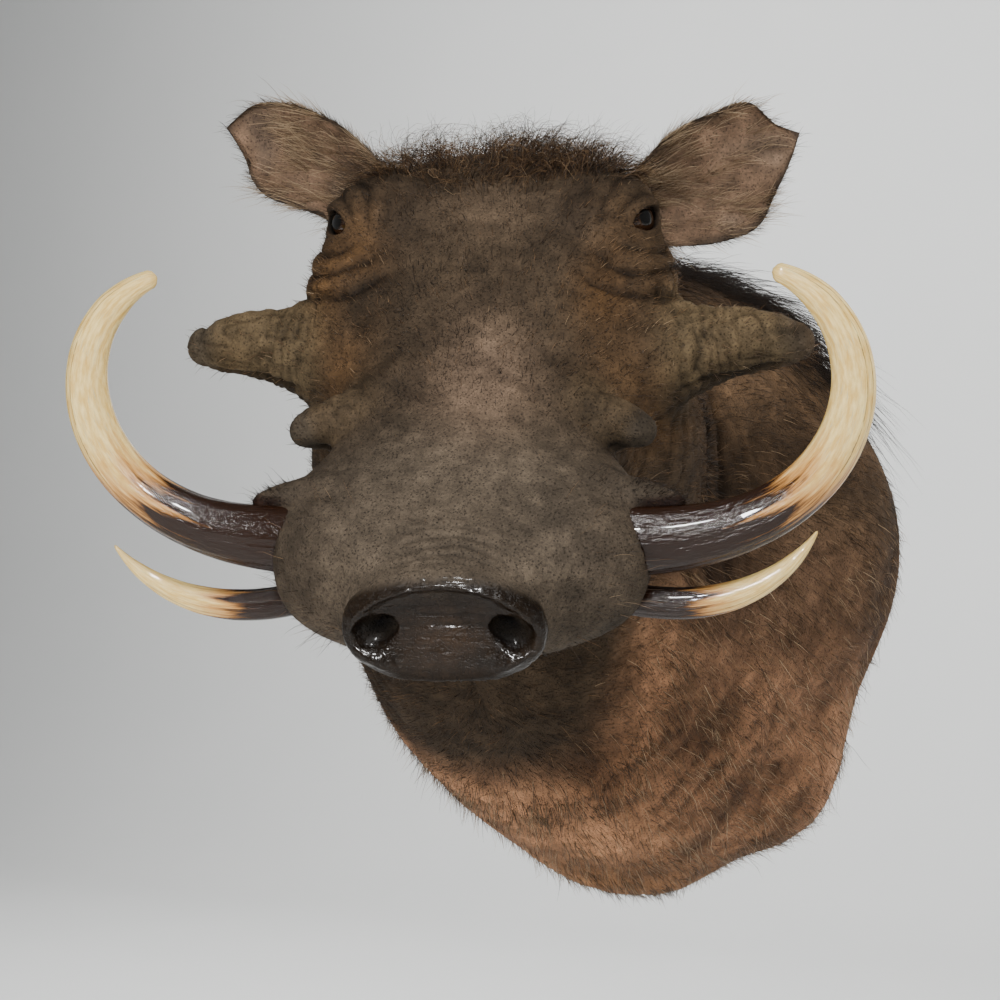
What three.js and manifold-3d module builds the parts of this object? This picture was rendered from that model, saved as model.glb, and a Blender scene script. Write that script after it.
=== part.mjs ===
// Warthog shoulder mount: a hide stretched over a form, with its head turned to its left, four tusks and
// two glass eyes, closed behind by a plywood backboard with a steel keyhole hanger.
// Millimetres, +Z up. The wall is the plane Y = 0 and the animal looks out towards -Y.
import * as THREE from "three";
import { LoftGeometry } from "three/addons/geometries/LoftGeometry.js";
import { mergeVertices } from "three/addons/utils/BufferGeometryUtils.js";
import Module from "manifold-3d";

const wasm = await Module();
wasm.setup();

// How the head is carried: the middle of the nose disc, and the turns of the head about it. In the head's
// own frame X is across, Y runs back from the nose disc and Z is up from the muzzle's axis.
const NOSE = new THREE.Vector3(103.5, -552, -4);
const HEAD_PITCH = THREE.MathUtils.degToRad(27);
const HEAD_TURN = THREE.MathUtils.degToRad(22.8);

// Clearance between a piece and the pocket that holds it.
const GAP = 0.4;

// Sections of the head. at: distance behind the nose disc. half: half width. top and keel: heights of the
// bridge and of the jaw. widest: height of the widest point. roof and chin: superellipse powers of the
// upper and the lower half, where 2 is an ellipse, less is a gable and more is a box.
const HEAD_SECTIONS = [
  { at: 0, half: 52, top: 29, keel: -32, widest: -3, roof: 2.2, chin: 2.2 },
  { at: 5, half: 58, top: 34, keel: -37, widest: -3, roof: 2.2, chin: 2.2 },
  { at: 16, half: 59, top: 35, keel: -38, widest: -4, roof: 2.2, chin: 2.2 },
  { at: 28, half: 67, top: 38, keel: -41, widest: -5, roof: 2.3, chin: 2.2 },
  { at: 46, half: 92, top: 43, keel: -46, widest: -3, roof: 2.5, chin: 2.3 },
  { at: 64, half: 108, top: 48, keel: -52, widest: 2, roof: 2.5, chin: 2.6 },
  { at: 90, half: 114, top: 56, keel: -59, widest: 10, roof: 2.2, chin: 2.6 },
  { at: 112, half: 117, top: 63, keel: -66, widest: 19, roof: 1.7, chin: 2.4 },
  { at: 132, half: 102, top: 70, keel: -73, widest: 22, roof: 1.7, chin: 2.3 },
  { at: 155, half: 88, top: 79, keel: -80, widest: 25, roof: 2, chin: 2.4 },
  { at: 180, half: 88, top: 89, keel: -87, widest: 28, roof: 2.2, chin: 2.6 },
  { at: 210, half: 99, top: 101, keel: -95, widest: 32, roof: 2.5, chin: 2.8 },
  { at: 245, half: 115, top: 117, keel: -104, widest: 40, roof: 2.8, chin: 2.8 },
  { at: 280, half: 121, top: 134, keel: -110, widest: 50, roof: 3.2, chin: 2.6 },
  { at: 315, half: 116, top: 148, keel: -110, widest: 60, roof: 3.4, chin: 2.4 },
  { at: 350, half: 103, top: 155, keel: -96, widest: 66, roof: 3, chin: 2.2 },
  { at: 385, half: 80, top: 147, keel: -60, widest: 62, roof: 2.4, chin: 2.2 },
  { at: 412, half: 48, top: 124, keel: -10, widest: 55, roof: 2.2, chin: 2.2 },
];
const HEAD_PLACES = [
  0, 2.5, 6, 16, 28, 37, 46, 55, 64, 77, 90, 101, 112, 122, 132, 143, 155, 167, 180, 195, 210, 227, 245,
  262, 280, 298, 315, 333, 350, 385, 412];
const HEAD_SIDES = 30;

// Sections of the neck and chest, parallel to the wall. at: Y. middle: X of the section's middle.
const NECK_SECTIONS = [
  { at: -392, middle: -12, half: 42, top: 172, keel: 20, widest: 90, roof: 2.2, chin: 2.2 },
  { at: -378, middle: -15, half: 76, top: 220, keel: -28, widest: 92, roof: 2.2, chin: 2.3 },
  { at: -350, middle: -16, half: 94, top: 246, keel: -64, widest: 90, roof: 2.2, chin: 2.4 },
  { at: -300, middle: -16, half: 114, top: 262, keel: -109, widest: 70, roof: 2.2, chin: 2.5 },
  { at: -250, middle: -13, half: 128, top: 258, keel: -148, widest: 50, roof: 2.1, chin: 2.4 },
  { at: -200, middle: -9, half: 138, top: 251, keel: -181, widest: 37, roof: 2, chin: 2.2 },
  { at: -150, middle: -4, half: 145, top: 245, keel: -202, widest: 30, roof: 2, chin: 2.1 },
  { at: -100, middle: 0, half: 149, top: 241, keel: -210, widest: 27, roof: 2, chin: 1.9 },
  { at: -50, middle: 0, half: 152, top: 237, keel: -208, widest: 27, roof: 2, chin: 1.9 },
  { at: 0, middle: 0, half: 149, top: 228, keel: -200, widest: 27, roof: 2, chin: 1.9 },
];
const NECK_PLACES = [-392, -386, -378, -365, -350, -325, -300, -260, -215, -170, -125, -85, -45, 0];
const NECK_SIDES = 32;

// Muscles that swell out of the neck and chest: middle and half axes of each ellipsoid.
const SHOULDER = { middle: [95, -52, 34], radii: [76, 104, 100] };
const FORELEG = { middle: [68, -52, -110], radii: [59, 84, 80] };
const BRISKET = { middle: [-14, -82, -136], radii: [84, 100, 86] };

// Swellings of the head round each eye and at the angle of the jaw, in the head's frame.
const BROW = { middle: [70, 319, 139], radii: [33, 36, 17] };
const EYE_BAG = { middle: [91, 288, 101], radii: [25, 34, 24] };
const JOWL = { middle: [92, 284, -28], radii: [38, 72, 58], skew: 9 };

// Glass eyes.
const EYE = { middle: [90, 309, 127], radius: 14.5 };

// Nostrils: the line of each from its mouth on the nose disc to its end, and the radii along it.
const NOSTRIL = { line: [[37, -2, -3], [30, 22, 4]], radii: [10, 8, 5], sides: 10, steps: 3 };

// Warts: the bent line of the middle of each, the radii along it, and how far the pair is set towards the
// animal's left.
const CHEEK_WART = {
  line: [[84, 252, 52], [122, 256, 60], [158, 259, 64], [195, 261, 62]],
  radii: [38, 33, 27, 22, 19, 16, 9], skew: 6, sides: 12, steps: 8,
};
const NOSE_WART = {
  line: [[62, 158, 44], [84, 163, 52], [104, 166, 56]],
  radii: [26, 21, 18, 17, 15, 8], skew: 0, sides: 12, steps: 6,
};

// Flap of the upper lip that lies over the root of each upper tusk.
const LIP_FLAP = {
  line: [[84, 104, 34], [110, 102, 37], [133, 100, 39]],
  radii: [13, 10, 3], skew: 4, sides: 8, steps: 4,
};

// Tusks. exit: where the middle of the tusk leaves the lip. lean: how far the plane in which it curls leans
// back. heading: the first and the last direction in that plane, 0 being straight out to the side.
// quicken: power by which the curl tightens. radii: half thickness along the exposed length. flat: how much
// thinner it is through that plane. skew: as for the warts.
const UPPER_TUSK = {
  exit: [102, 89, 12], lean: 15, heading: [2, 163], quicken: 1.5, length: 256, buried: 42,
  radii: [22, 19.5, 17, 15.5, 14.6, 13.6, 12, 9.5, 4], flat: 0.86, skew: 4, sides: 12, steps: 16,
};
const LOWER_TUSK = {
  exit: [98, 86, -26], lean: 15, heading: [-10, 60], quicken: 1.3, length: 126, buried: 34,
  radii: [9, 9, 8.6, 7.6, 6, 3.8, 0.8], flat: 0.8, skew: 0, sides: 8, steps: 8,
};

// Ears. base and tip: ends of each ear's middle line. facing: the way that its cup opens. broad: scale of
// its width. Each row gives the width, the depth of the cup and the thickness at a share of the length.
const EARS = {
  right: { base: [-78, 352, 129], tip: [-188, 374, 169], facing: [-0.2, -0.85, 0.3], broad: 1 },
  left: { base: [78, 352, 114], tip: [194, 374, 167], facing: [0.2, -0.85, 0.3], broad: 1.12 },
};
const EAR_ROWS = [
  { at: -0.18, width: 44, cup: 16, thick: 9 },
  { at: 0, width: 50, cup: 20, thick: 8 },
  { at: 0.25, width: 62, cup: 20, thick: 7 },
  { at: 0.5, width: 67, cup: 15, thick: 6 },
  { at: 0.7, width: 59, cup: 10, thick: 5 },
  { at: 0.82, width: 46, cup: 6, thick: 4.5 },
  { at: 0.92, width: 24, cup: 2.5, thick: 4 },
  { at: 1, width: 6, cup: 0.5, thick: 3 },
];
const EAR_SIDES = 14;
const EAR_STEPS = 10;

// Mane: locks along the crown and the top of the neck. reach: length of a lock. sway: how far the tips of
// the crown wander to either side. lift and tip: height of a nape lock's bend and of its tip over the skin.
const CROWN = { locks: 22, half: 70, from: 338, to: 372, reach: 27, sway: 9, radius: 7 };
const NAPE = { locks: 18, from: -262, to: -22, reach: [30, 128], radius: 8, lift: 6, tip: [8, 30] };
const LOCK = { sides: 3, steps: 2, buried: 9, point: 0.8 };

// Room behind the wall, where nothing reaches.
const BEHIND_WALL = [1000, 400, 1000];

// Backboard and hanger.
const BOARD = { inset: 12, thick: 18 };
const HANGER = { wide: 26, tall: 64, thick: 2, corner: 5, high: 130, eye: 6, slot: 3, drop: 12 };
const HANGER_WELL = { wide: 18, tall: 48, deep: 10 };

const UP = new THREE.Vector3(0, 0, 1);
const spread = (from, to, steps) =>
  Array.from({ length: steps + 1 }, (_, i) => from + ((to - from) * i) / steps);
const vector = (numbers) => new THREE.Vector3(...numbers);
const turns = (sides) => spread(0, 2 * Math.PI * (1 - 1 / sides), sides - 1);

// A point given for the animal's left, on either side, with the pair moved over towards the left.
const placed = ([x, y, z], side, skew = 0) => new THREE.Vector3(side * x + skew, y, z);

// Smooth value of one column of a table of sections: a cubic through the rows, with each row's slope
// taken from the rows on either side of it.
function columnAt(rows, column, at) {
  const last = rows.length - 1;
  let i = 0;
  while (i < last - 1 && at > rows[i + 1].at) i += 1;
  const slope = (k) => {
    const before = rows[Math.max(k - 1, 0)];
    const after = rows[Math.min(k + 1, last)];
    return (after[column] - before[column]) / (after.at - before.at);
  };
  const span = rows[i + 1].at - rows[i].at;
  const t = (at - rows[i].at) / span;
  const start = rows[i][column];
  const end = rows[i + 1][column];
  return start + (end - start) * t * t * (3 - 2 * t)
    + span * (t * (1 - t) * (1 - t) * slope(i) - t * t * (1 - t) * slope(i + 1));
}

// One row of a table of sections at any place between its ends.
function sectionAt(rows, at) {
  const columns = Object.keys(rows[0]).filter((column) => column !== "at");
  return Object.fromEntries([["at", at], ...columns.map((column) => [column, columnAt(rows, column, at)])]);
}

// Value at a share of the way along evenly spaced values.
function along(values, share) {
  const place = THREE.MathUtils.clamp(share, 0, 1) * (values.length - 1);
  const i = Math.min(Math.floor(place), values.length - 2);
  return THREE.MathUtils.lerp(values[i], values[i + 1], place - i);
}

// Closed outline of a section in the plane Y = at, in the turn that makes a loft towards +Y face out.
function outlineOf(row, sides, inset = 0) {
  return turns(sides).map((angle) => {
    const across = Math.cos(angle);
    const up = Math.sin(angle);
    const power = 2 / (up >= 0 ? row.roof : row.chin);
    const height = (up >= 0 ? row.top - row.widest : row.widest - row.keel) - inset;
    return new THREE.Vector3(
      (row.middle ?? 0) - (row.half - inset) * Math.sign(across) * Math.abs(across) ** power,
      row.at,
      row.widest + height * Math.sign(up) * Math.abs(up) ** power,
    );
  });
}

const loft = (sections) => new LoftGeometry(sections, { capStart: true, capEnd: true });

// A table of sections as a lofted solid, with its sections at the given places.
const loftThrough = (rows, places, sides) =>
  loft(places.map((at) => outlineOf(sectionAt(rows, at), sides)));

// Ring of points round a middle, in the plane of two axes, as a share of each radius.
function ring(middle, side, up, sideRadius, upRadius, sides) {
  return turns(sides).map((angle) => middle.clone()
    .addScaledVector(side, sideRadius * Math.cos(angle))
    .addScaledVector(up, upRadius * Math.sin(angle)));
}

// Rounded cone along a bent line of points, with radii spaced evenly along it. level: a direction that the
// line never follows.
function bentCone({ line, radii, sides, steps, level = UP }) {
  const path = new THREE.CatmullRomCurve3(line);
  return loft(spread(0, 1, steps).map((t) => {
    const ahead = path.getTangent(t);
    const side = new THREE.Vector3().crossVectors(level, ahead).normalize();
    const up = new THREE.Vector3().crossVectors(ahead, side);
    const radius = along(radii, t);
    return ring(path.getPoint(t), side, up, radius, radius, sides);
  }));
}

function ellipsoid({ middle, radii, skew = 0 }, side = 1, sides = 12) {
  return new THREE.SphereGeometry(1, sides, sides / 2 + 1).scale(...radii)
    .translate(...placed(middle, side, skew).toArray());
}

const eyeGeometry = (side, clearance = 0) =>
  ellipsoid({ middle: EYE.middle, radii: Array(3).fill(EYE.radius + clearance) }, side);

// A closed mesh as a solid for joining and cutting.
function solidOf(geometry) {
  const bare = new THREE.BufferGeometry().copy(geometry);
  bare.deleteAttribute("normal");
  bare.deleteAttribute("uv");
  const merged = mergeVertices(bare, 1e-3);
  const mesh = new wasm.Mesh({
    numProp: 3,
    vertProperties: new Float32Array(merged.attributes.position.array),
    triVerts: new Uint32Array(merged.index.array),
    tolerance: 1e-3,
  });
  mesh.merge();
  return new wasm.Manifold(mesh);
}

// A solid back as a mesh's geometry.
function geometryOf(solid) {
  const mesh = solid.getMesh();
  const geometry = new THREE.BufferGeometry();
  geometry.setAttribute("position", new THREE.BufferAttribute(mesh.vertProperties, 3));
  geometry.setIndex(new THREE.BufferAttribute(mesh.triVerts, 1));
  geometry.computeVertexNormals();
  return geometry;
}

const root = new THREE.Group();
const head = new THREE.Group();
head.position.copy(NOSE);
head.rotation.set(HEAD_PITCH, 0, HEAD_TURN, "ZXY");
head.updateMatrix();
root.add(head);

// A head piece's solid in the frame of the whole mount.
const headSolid = (geometry) => solidOf(new THREE.BufferGeometry().copy(geometry).applyMatrix4(head.matrix));

function addPiece(group, name, geometry, material) {
  const mesh = new THREE.Mesh(geometry, material);
  mesh.name = name;
  group.add(mesh);
}

// Middle line and rings of a tusk. Behind the lip it runs straight on into the jaw.
function tuskGeometry(tusk, side, clearance = 0) {
  const lean = THREE.MathUtils.degToRad(tusk.lean);
  const out = new THREE.Vector3(side, 0, 0);
  const rise = new THREE.Vector3(0, Math.sin(lean), Math.cos(lean));
  const through = new THREE.Vector3().crossVectors(out, rise);
  const stepLength = tusk.length / tusk.steps;
  const headingAt = (share) => THREE.MathUtils.degToRad(
    tusk.heading[0] + (tusk.heading[1] - tusk.heading[0]) * share ** tusk.quicken);
  const ahead = (angle) => out.clone().multiplyScalar(Math.cos(angle)).addScaledVector(rise, Math.sin(angle));
  const ringAt = (middle, angle, share) => {
    const radius = along(tusk.radii, share) + clearance;
    const inward = new THREE.Vector3().crossVectors(ahead(angle), through);
    return ring(middle, through, inward, radius * tusk.flat, radius, tusk.sides);
  };
  const middle = placed(tusk.exit, side, tusk.skew);
  const start = middle.clone().addScaledVector(ahead(headingAt(0)), -tusk.buried);
  const sections = [ringAt(start, headingAt(0), 0), ringAt(middle, headingAt(0), 0)];
  for (let i = 1; i <= tusk.steps; i += 1) {
    middle.addScaledVector(ahead(headingAt((i - 0.5) / tusk.steps)), stepLength);
    sections.push(ringAt(middle, headingAt(i / tusk.steps), i / tusk.steps));
  }
  return loft(sections);
}

// Ear: crescent sections along its middle line, cupped to the front.
function earGeometry(ear) {
  const base = vector(ear.base);
  const length = vector(ear.tip).sub(base);
  const ahead = length.clone().normalize();
  const facing = vector(ear.facing);
  facing.addScaledVector(ahead, -facing.dot(ahead)).normalize();
  const across = new THREE.Vector3().crossVectors(facing, ahead);
  return loft(spread(EAR_ROWS[0].at, 1, EAR_STEPS).map((at) => {
    const row = sectionAt(EAR_ROWS, at);
    return turns(EAR_SIDES).map((angle) => {
      const q = Math.cos(angle);
      const depth = row.cup * (q * q - 0.5) + (row.thick / 2) * Math.sin(angle);
      return base.clone().addScaledVector(length, at)
        .addScaledVector(across, (q * row.width * ear.broad) / 2)
        .addScaledVector(facing, depth);
    });
  }));
}

// Point on the upper skin of a table's section, a given way across, as a share of its half width.
function skinAt(rows, at, across, lift = 0) {
  const row = sectionAt(rows, at);
  const share = Math.min(Math.abs(across), 1);
  const height = (row.top - row.widest) * (1 - share ** row.roof) ** (1 / row.roof);
  return new THREE.Vector3((row.middle ?? 0) + across * row.half, at, row.widest + height)
    .addScaledVector(new THREE.Vector3(across, 0, Math.sqrt(1 - share * share)), lift);
}

// A lock of bristles through three points.
const lock = (line, radius) =>
  bentCone({ ...LOCK, line, radii: [radius, radius, LOCK.point], level: new THREE.Vector3(0, 1, 0) });

// One lock of the crown, in the head's frame: a tuft between the ears that stands up and curls back.
function crownLock(i) {
  const across = (2 * i) / (CROWN.locks - 1) - 1;
  const at = THREE.MathUtils.lerp(CROWN.from, CROWN.to, 0.5 + 0.5 * Math.sin(2.4 * i));
  const share = (across * CROWN.half) / sectionAt(HEAD_SECTIONS, at).half;
  const reach = CROWN.reach * (0.86 + 0.14 * Math.cos(1.7 * i));
  const [start, bend, tip] = [-LOCK.buried, reach / 2, reach].map((lift) =>
    skinAt(HEAD_SECTIONS, at, share, lift));
  tip.x += CROWN.sway * Math.sin(4.1 * i);
  tip.y += reach / 2;
  return lock([start, bend, tip], CROWN.radius);
}

// One lock of the nape: it leaves the top of the neck and lies over the animal's left side, and the locks
// near the wall are the longest.
function napeLock(i) {
  const t = i / (NAPE.locks - 1);
  const at = THREE.MathUtils.lerp(NAPE.from, NAPE.to, t);
  const row = sectionAt(NECK_SECTIONS, at);
  const reach = THREE.MathUtils.lerp(...NAPE.reach, t * t) * (0.88 + 0.12 * Math.cos(1.7 * i));
  const start = 0.1 * Math.sin(2.4 * i);
  const line = [
    skinAt(NECK_SECTIONS, at, start, -LOCK.buried),
    skinAt(NECK_SECTIONS, at + 6, start + (0.5 * reach) / row.half, NAPE.lift),
    skinAt(NECK_SECTIONS, at + 14, start + reach / row.half, THREE.MathUtils.lerp(...NAPE.tip, t * t)),
  ];
  return lock(line, NAPE.radius);
}

// Backboard: the outline of the form at the wall, set in from the edge of the hide.
function boardGeometry(clearance = 0) {
  const outline = outlineOf(sectionAt(NECK_SECTIONS, 0), NECK_SIDES, BOARD.inset - clearance);
  return loft([-BOARD.thick - clearance, 0].map((y) => outline.map((p) => new THREE.Vector3(p.x, y, p.z))));
}

// Plate of the hanger, flush with the back of the board, with a keyhole that narrows upwards.
function hangerShape() {
  const plate = new THREE.Shape();
  const { wide, tall, corner } = HANGER;
  plate.moveTo(corner - wide / 2, -tall / 2);
  plate.absarc(wide / 2 - corner, corner - tall / 2, corner, -Math.PI / 2, 0);
  plate.absarc(wide / 2 - corner, tall / 2 - corner, corner, 0, Math.PI / 2);
  plate.absarc(corner - wide / 2, tall / 2 - corner, corner, Math.PI / 2, Math.PI);
  plate.absarc(corner - wide / 2, corner - tall / 2, corner, Math.PI, 1.5 * Math.PI);
  const keyhole = new THREE.Path();
  const join = Math.acos(HANGER.slot / HANGER.eye);
  keyhole.absarc(0, -HANGER.drop, HANGER.eye, Math.PI - join, 2 * Math.PI + join);
  keyhole.absarc(0, HANGER.drop, HANGER.slot, 0, Math.PI);
  plate.holes.push(keyhole);
  return plate;
}

// A flat shape stood up in the plane of the wall: its back at the wall and its thickness towards -Y.
const upright = (shape, thick) =>
  new THREE.ExtrudeGeometry(shape, { depth: thick, bevelEnabled: false, curveSegments: 3 })
    .rotateX(Math.PI / 2).translate(0, 0, HANGER.high);

function slab(wide, tall, deep) {
  return new THREE.BoxGeometry(wide, deep, tall).translate(0, -deep / 2, HANGER.high);
}

// Board with the recess that takes the hanger, and the deeper one behind its keyhole for a screw's head.
function boardWithRecess() {
  const seat = slab(HANGER.wide + 2 * GAP, HANGER.tall + 2 * GAP, HANGER.thick + GAP);
  const well = slab(HANGER_WELL.wide, HANGER_WELL.tall, HANGER_WELL.deep);
  return geometryOf(solidOf(boardGeometry()).subtract(solidOf(seat)).subtract(solidOf(well)));
}

// The hide: neck, chest and head in one skin, with ears, warts and mane grown out of it.
function hideGeometry() {
  let hide = solidOf(loftThrough(NECK_SECTIONS, NECK_PLACES, NECK_SIDES));
  hide = hide.add(solidOf(ellipsoid(BRISKET)));
  hide = hide.add(headSolid(loftThrough(HEAD_SECTIONS, HEAD_PLACES, HEAD_SIDES)));
  for (const side of [-1, 1]) {
    for (const muscle of [SHOULDER, FORELEG]) hide = hide.add(solidOf(ellipsoid(muscle, side)));
    for (const swelling of [BROW, EYE_BAG, JOWL]) hide = hide.add(headSolid(ellipsoid(swelling, side)));
    for (const growth of [CHEEK_WART, NOSE_WART, LIP_FLAP]) {
      const line = growth.line.map((p) => placed(p, side, growth.skew));
      hide = hide.add(headSolid(bentCone({ ...growth, line })));
    }
  }
  for (const ear of Object.values(EARS)) hide = hide.add(headSolid(earGeometry(ear)));
  for (let i = 0; i < CROWN.locks; i += 1) hide = hide.add(headSolid(crownLock(i)));
  for (let i = 0; i < NAPE.locks; i += 1) hide = hide.add(solidOf(napeLock(i)));

  for (const side of [-1, 1]) {
    hide = hide.subtract(headSolid(eyeGeometry(side, GAP)));
    const line = NOSTRIL.line.map((p) => placed(p, side));
    hide = hide.subtract(headSolid(bentCone({ ...NOSTRIL, line })));
    for (const tusk of [UPPER_TUSK, LOWER_TUSK]) {
      hide = hide.subtract(headSolid(tuskGeometry(tusk, side, GAP)));
    }
  }
  const behindWall = new THREE.BoxGeometry(...BEHIND_WALL).translate(0, BEHIND_WALL[1] / 2, 0);
  return geometryOf(hide.subtract(solidOf(behindWall)).subtract(solidOf(boardGeometry(GAP))));
}

const hideMaterial = new THREE.MeshStandardMaterial({ color: 0x4a3b30, roughness: 0.85 });
const ivory = new THREE.MeshStandardMaterial({ color: 0xd9c48f, roughness: 0.25 });
const glass = new THREE.MeshStandardMaterial({ color: 0x0d0705, roughness: 0.05 });
const steel = new THREE.MeshStandardMaterial({ color: 0x9a9c9e, roughness: 0.4, metalness: 1 });
const plywood = new THREE.MeshStandardMaterial({ color: 0xb48a55, roughness: 0.75 });

addPiece(root, "hide", hideGeometry(), hideMaterial);
for (const [side, name] of [[-1, "right"], [1, "left"]]) {
  addPiece(head, `upper_tusk_${name}`, tuskGeometry(UPPER_TUSK, side), ivory);
  addPiece(head, `lower_tusk_${name}`, tuskGeometry(LOWER_TUSK, side), ivory);
  addPiece(head, `glass_eye_${name}`, eyeGeometry(side), glass);
}
addPiece(root, "backboard", boardWithRecess(), plywood);
addPiece(root, "hanger", upright(hangerShape(), HANGER.thick), steel);

export default root;
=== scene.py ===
# %% [markdown]
# # A warthog shoulder mount
# The real thing is a tanned hide stretched over a carved foam form, with polished tusks, glass eyes and a
# plywood back. The solid model gives every piece its place. This lesson gives each one its skin, hair and
# finish, working in millimetres in numpy and writing metres into Blender.

import bpy
import numpy as np
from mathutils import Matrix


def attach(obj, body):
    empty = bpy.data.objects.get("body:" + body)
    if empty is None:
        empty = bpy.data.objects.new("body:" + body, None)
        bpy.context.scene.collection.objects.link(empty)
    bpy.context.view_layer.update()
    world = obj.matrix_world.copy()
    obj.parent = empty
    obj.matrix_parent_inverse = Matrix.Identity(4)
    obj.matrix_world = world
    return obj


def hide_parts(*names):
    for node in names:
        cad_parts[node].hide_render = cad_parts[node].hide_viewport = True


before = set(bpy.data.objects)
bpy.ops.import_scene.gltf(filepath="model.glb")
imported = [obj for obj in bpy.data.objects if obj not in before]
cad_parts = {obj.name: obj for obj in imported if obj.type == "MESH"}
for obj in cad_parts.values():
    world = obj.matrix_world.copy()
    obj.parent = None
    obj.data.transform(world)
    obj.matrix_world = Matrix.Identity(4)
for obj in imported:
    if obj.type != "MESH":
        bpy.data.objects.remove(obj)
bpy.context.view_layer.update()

import openvdb

# %% [markdown]
# ## Two frames
# The mount hangs on the plane Y = 0. The head is turned and tipped, so its forms are easier to give in a
# frame of its own: across, back from the nose disc, and up. A pair of functions moves points between them.

# %% The head's own frame
NOSE = np.array([103.5, -552.0, -4.0])
PITCH, TURN = np.radians([27.0, 22.8])
ACROSS = np.array([np.cos(TURN), np.sin(TURN), 0.0])
BACK = np.array([-np.sin(TURN) * np.cos(PITCH), np.cos(TURN) * np.cos(PITCH), np.sin(PITCH)])
AXES = np.stack([ACROSS, BACK, np.cross(ACROSS, BACK)])


def to_mount(points):
    """Point of the mount = nose disc + across * x + back * y + up * z."""
    return points @ AXES + NOSE


def to_head(points):
    """The inverse: dot products with the head's three axes."""
    return (points - NOSE) @ AXES.T


print("crown of the head at", to_mount(np.array([0.0, 350.0, 155.0])).round(1))

# %% [markdown]
# ## Section tables
# Skull and neck are tubes whose section changes along their length, as a carver would cut a form from
# templates. Each row gives the place, half width, top, keel, height of the widest point, and the powers of
# the upper and lower half of a superellipse. The neck's last column is the section's middle.

# %% Tables and the curve through them
SKULL = np.array([
    [0, 52, 29, -32, -3, 2.2, 2.2], [5, 58, 34, -37, -3, 2.2, 2.2], [16, 59, 35, -38, -4, 2.2, 2.2],
    [28, 67, 38, -41, -5, 2.3, 2.2], [46, 92, 43, -46, -3, 2.5, 2.3], [64, 108, 48, -52, 2, 2.5, 2.6],
    [90, 114, 56, -59, 10, 2.2, 2.6], [112, 117, 63, -66, 19, 1.7, 2.4], [132, 102, 70, -73, 22, 1.7, 2.3],
    [155, 88, 79, -80, 25, 2, 2.4], [180, 88, 89, -87, 28, 2.2, 2.6], [210, 99, 101, -95, 32, 2.5, 2.8],
    [245, 115, 117, -104, 40, 2.8, 2.8], [280, 121, 134, -110, 50, 3.2, 2.6],
    [315, 116, 148, -110, 60, 3.4, 2.4], [350, 103, 155, -96, 66, 3, 2.2],
    [385, 80, 147, -60, 62, 2.4, 2.2], [412, 48, 124, -10, 55, 2.2, 2.2]])
NECK = np.array([
    [-392, 42, 172, 20, 90, 2.2, 2.2, -12], [-378, 76, 220, -28, 92, 2.2, 2.3, -15],
    [-350, 94, 246, -64, 90, 2.2, 2.4, -16], [-300, 114, 262, -109, 70, 2.2, 2.5, -16],
    [-250, 128, 258, -148, 50, 2.1, 2.4, -13], [-200, 138, 251, -181, 37, 2, 2.2, -9],
    [-150, 145, 245, -202, 30, 2, 2.1, -4], [-100, 149, 241, -210, 27, 2, 1.9, 0],
    [-50, 152, 237, -208, 27, 2, 1.9, 0], [0, 149, 228, -200, 27, 2, 1.9, 0]])


def smooth_rows(rows, at):
    """Cubic through a table's rows: the Hermite blend of two rows and of their slopes, where a row's slope
    is the slope between its two neighbours. The first column is the place."""
    count = len(rows)
    before = rows[np.maximum(np.arange(count) - 1, 0)]
    after = rows[np.minimum(np.arange(count) + 1, count - 1)]
    slope = (after - before) / (after[:, :1] - before[:, :1])
    at = np.clip(at, rows[0, 0], rows[-1, 0])
    i = np.clip(np.searchsorted(rows[:, 0], at, side="right") - 1, 0, count - 2)
    span = (rows[i + 1, 0] - rows[i, 0])[..., None]
    t = (at[..., None] - rows[i, :1]) / span
    return (rows[i] + (rows[i + 1] - rows[i]) * t * t * (3 - 2 * t)
            + span * (t * (1 - t) ** 2 * slope[i] - t * t * (1 - t) * slope[i + 1]))


def columns_at(rows, at):
    """The same curve for millions of places: the cubic is worked out at a thousand of them and read off in
    straight lines between."""
    fine = np.linspace(rows[0, 0], rows[-1, 0], 1000)
    curve = smooth_rows(rows, fine)
    return [np.interp(at, fine, curve[:, k]).astype(np.float32) for k in range(1, rows.shape[1])]


print("muzzle at its widest:", smooth_rows(SKULL, np.array([112.0]))[0, 1] * 2, "mm")

# %% [markdown]
# ## Fields
# A head with warts, lids and nostrils can't be one grid of two parameters, and overlapping tubes would show
# hard creases. So the hide is a field on a block of points: negative inside, zero on the skin. Forms join
# with a smooth minimum, which leaves the soft fillet that stretched skin has.

# %% Fields of the forms


def join(a, b, soft):
    """Smooth minimum: the smaller value, less soft * h * (1 - h) where the two are within soft of each other."""
    h = np.clip(0.5 + 0.5 * (b - a) / soft, 0, 1)
    return b + (a - b) * h - soft * h * (1 - h)


def cut(a, b, soft):
    """Smooth maximum of a and minus b, which takes form b out of form a."""
    return -join(-a, b, soft)


def section_field(across, up, half, top, keel, widest, roof, chin):
    """Distance along the ray from the section's middle: |p| - |p| / r, where r is the superellipse radius
    (|x / half| ** n + |z / height| ** n) ** (1 / n)."""
    rise = up - widest
    above = rise >= 0
    power = np.where(above, roof, chin)
    height = np.where(above, top - widest, widest - keel)
    ratio = ((np.abs(across) / half) ** power + (np.abs(rise) / height) ** power) ** (1 / power)
    reach = np.hypot(across, rise) + 1e-6
    return reach - reach / np.maximum(ratio, 1e-9)


def ellipsoid(points, middle, radii):
    """Nearly the distance to an ellipsoid: k (k - 1) / |p / r ** 2|, with k = |p / r|."""
    shares = [(p - m) / r for p, m, r in zip(points, middle, radii)]
    k = np.sqrt(sum(q * q for q in shares)) + 1e-9
    return k * (k - 1) / (np.sqrt(sum((q / r) ** 2 for q, r in zip(shares, radii))) + 1e-9)


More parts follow.
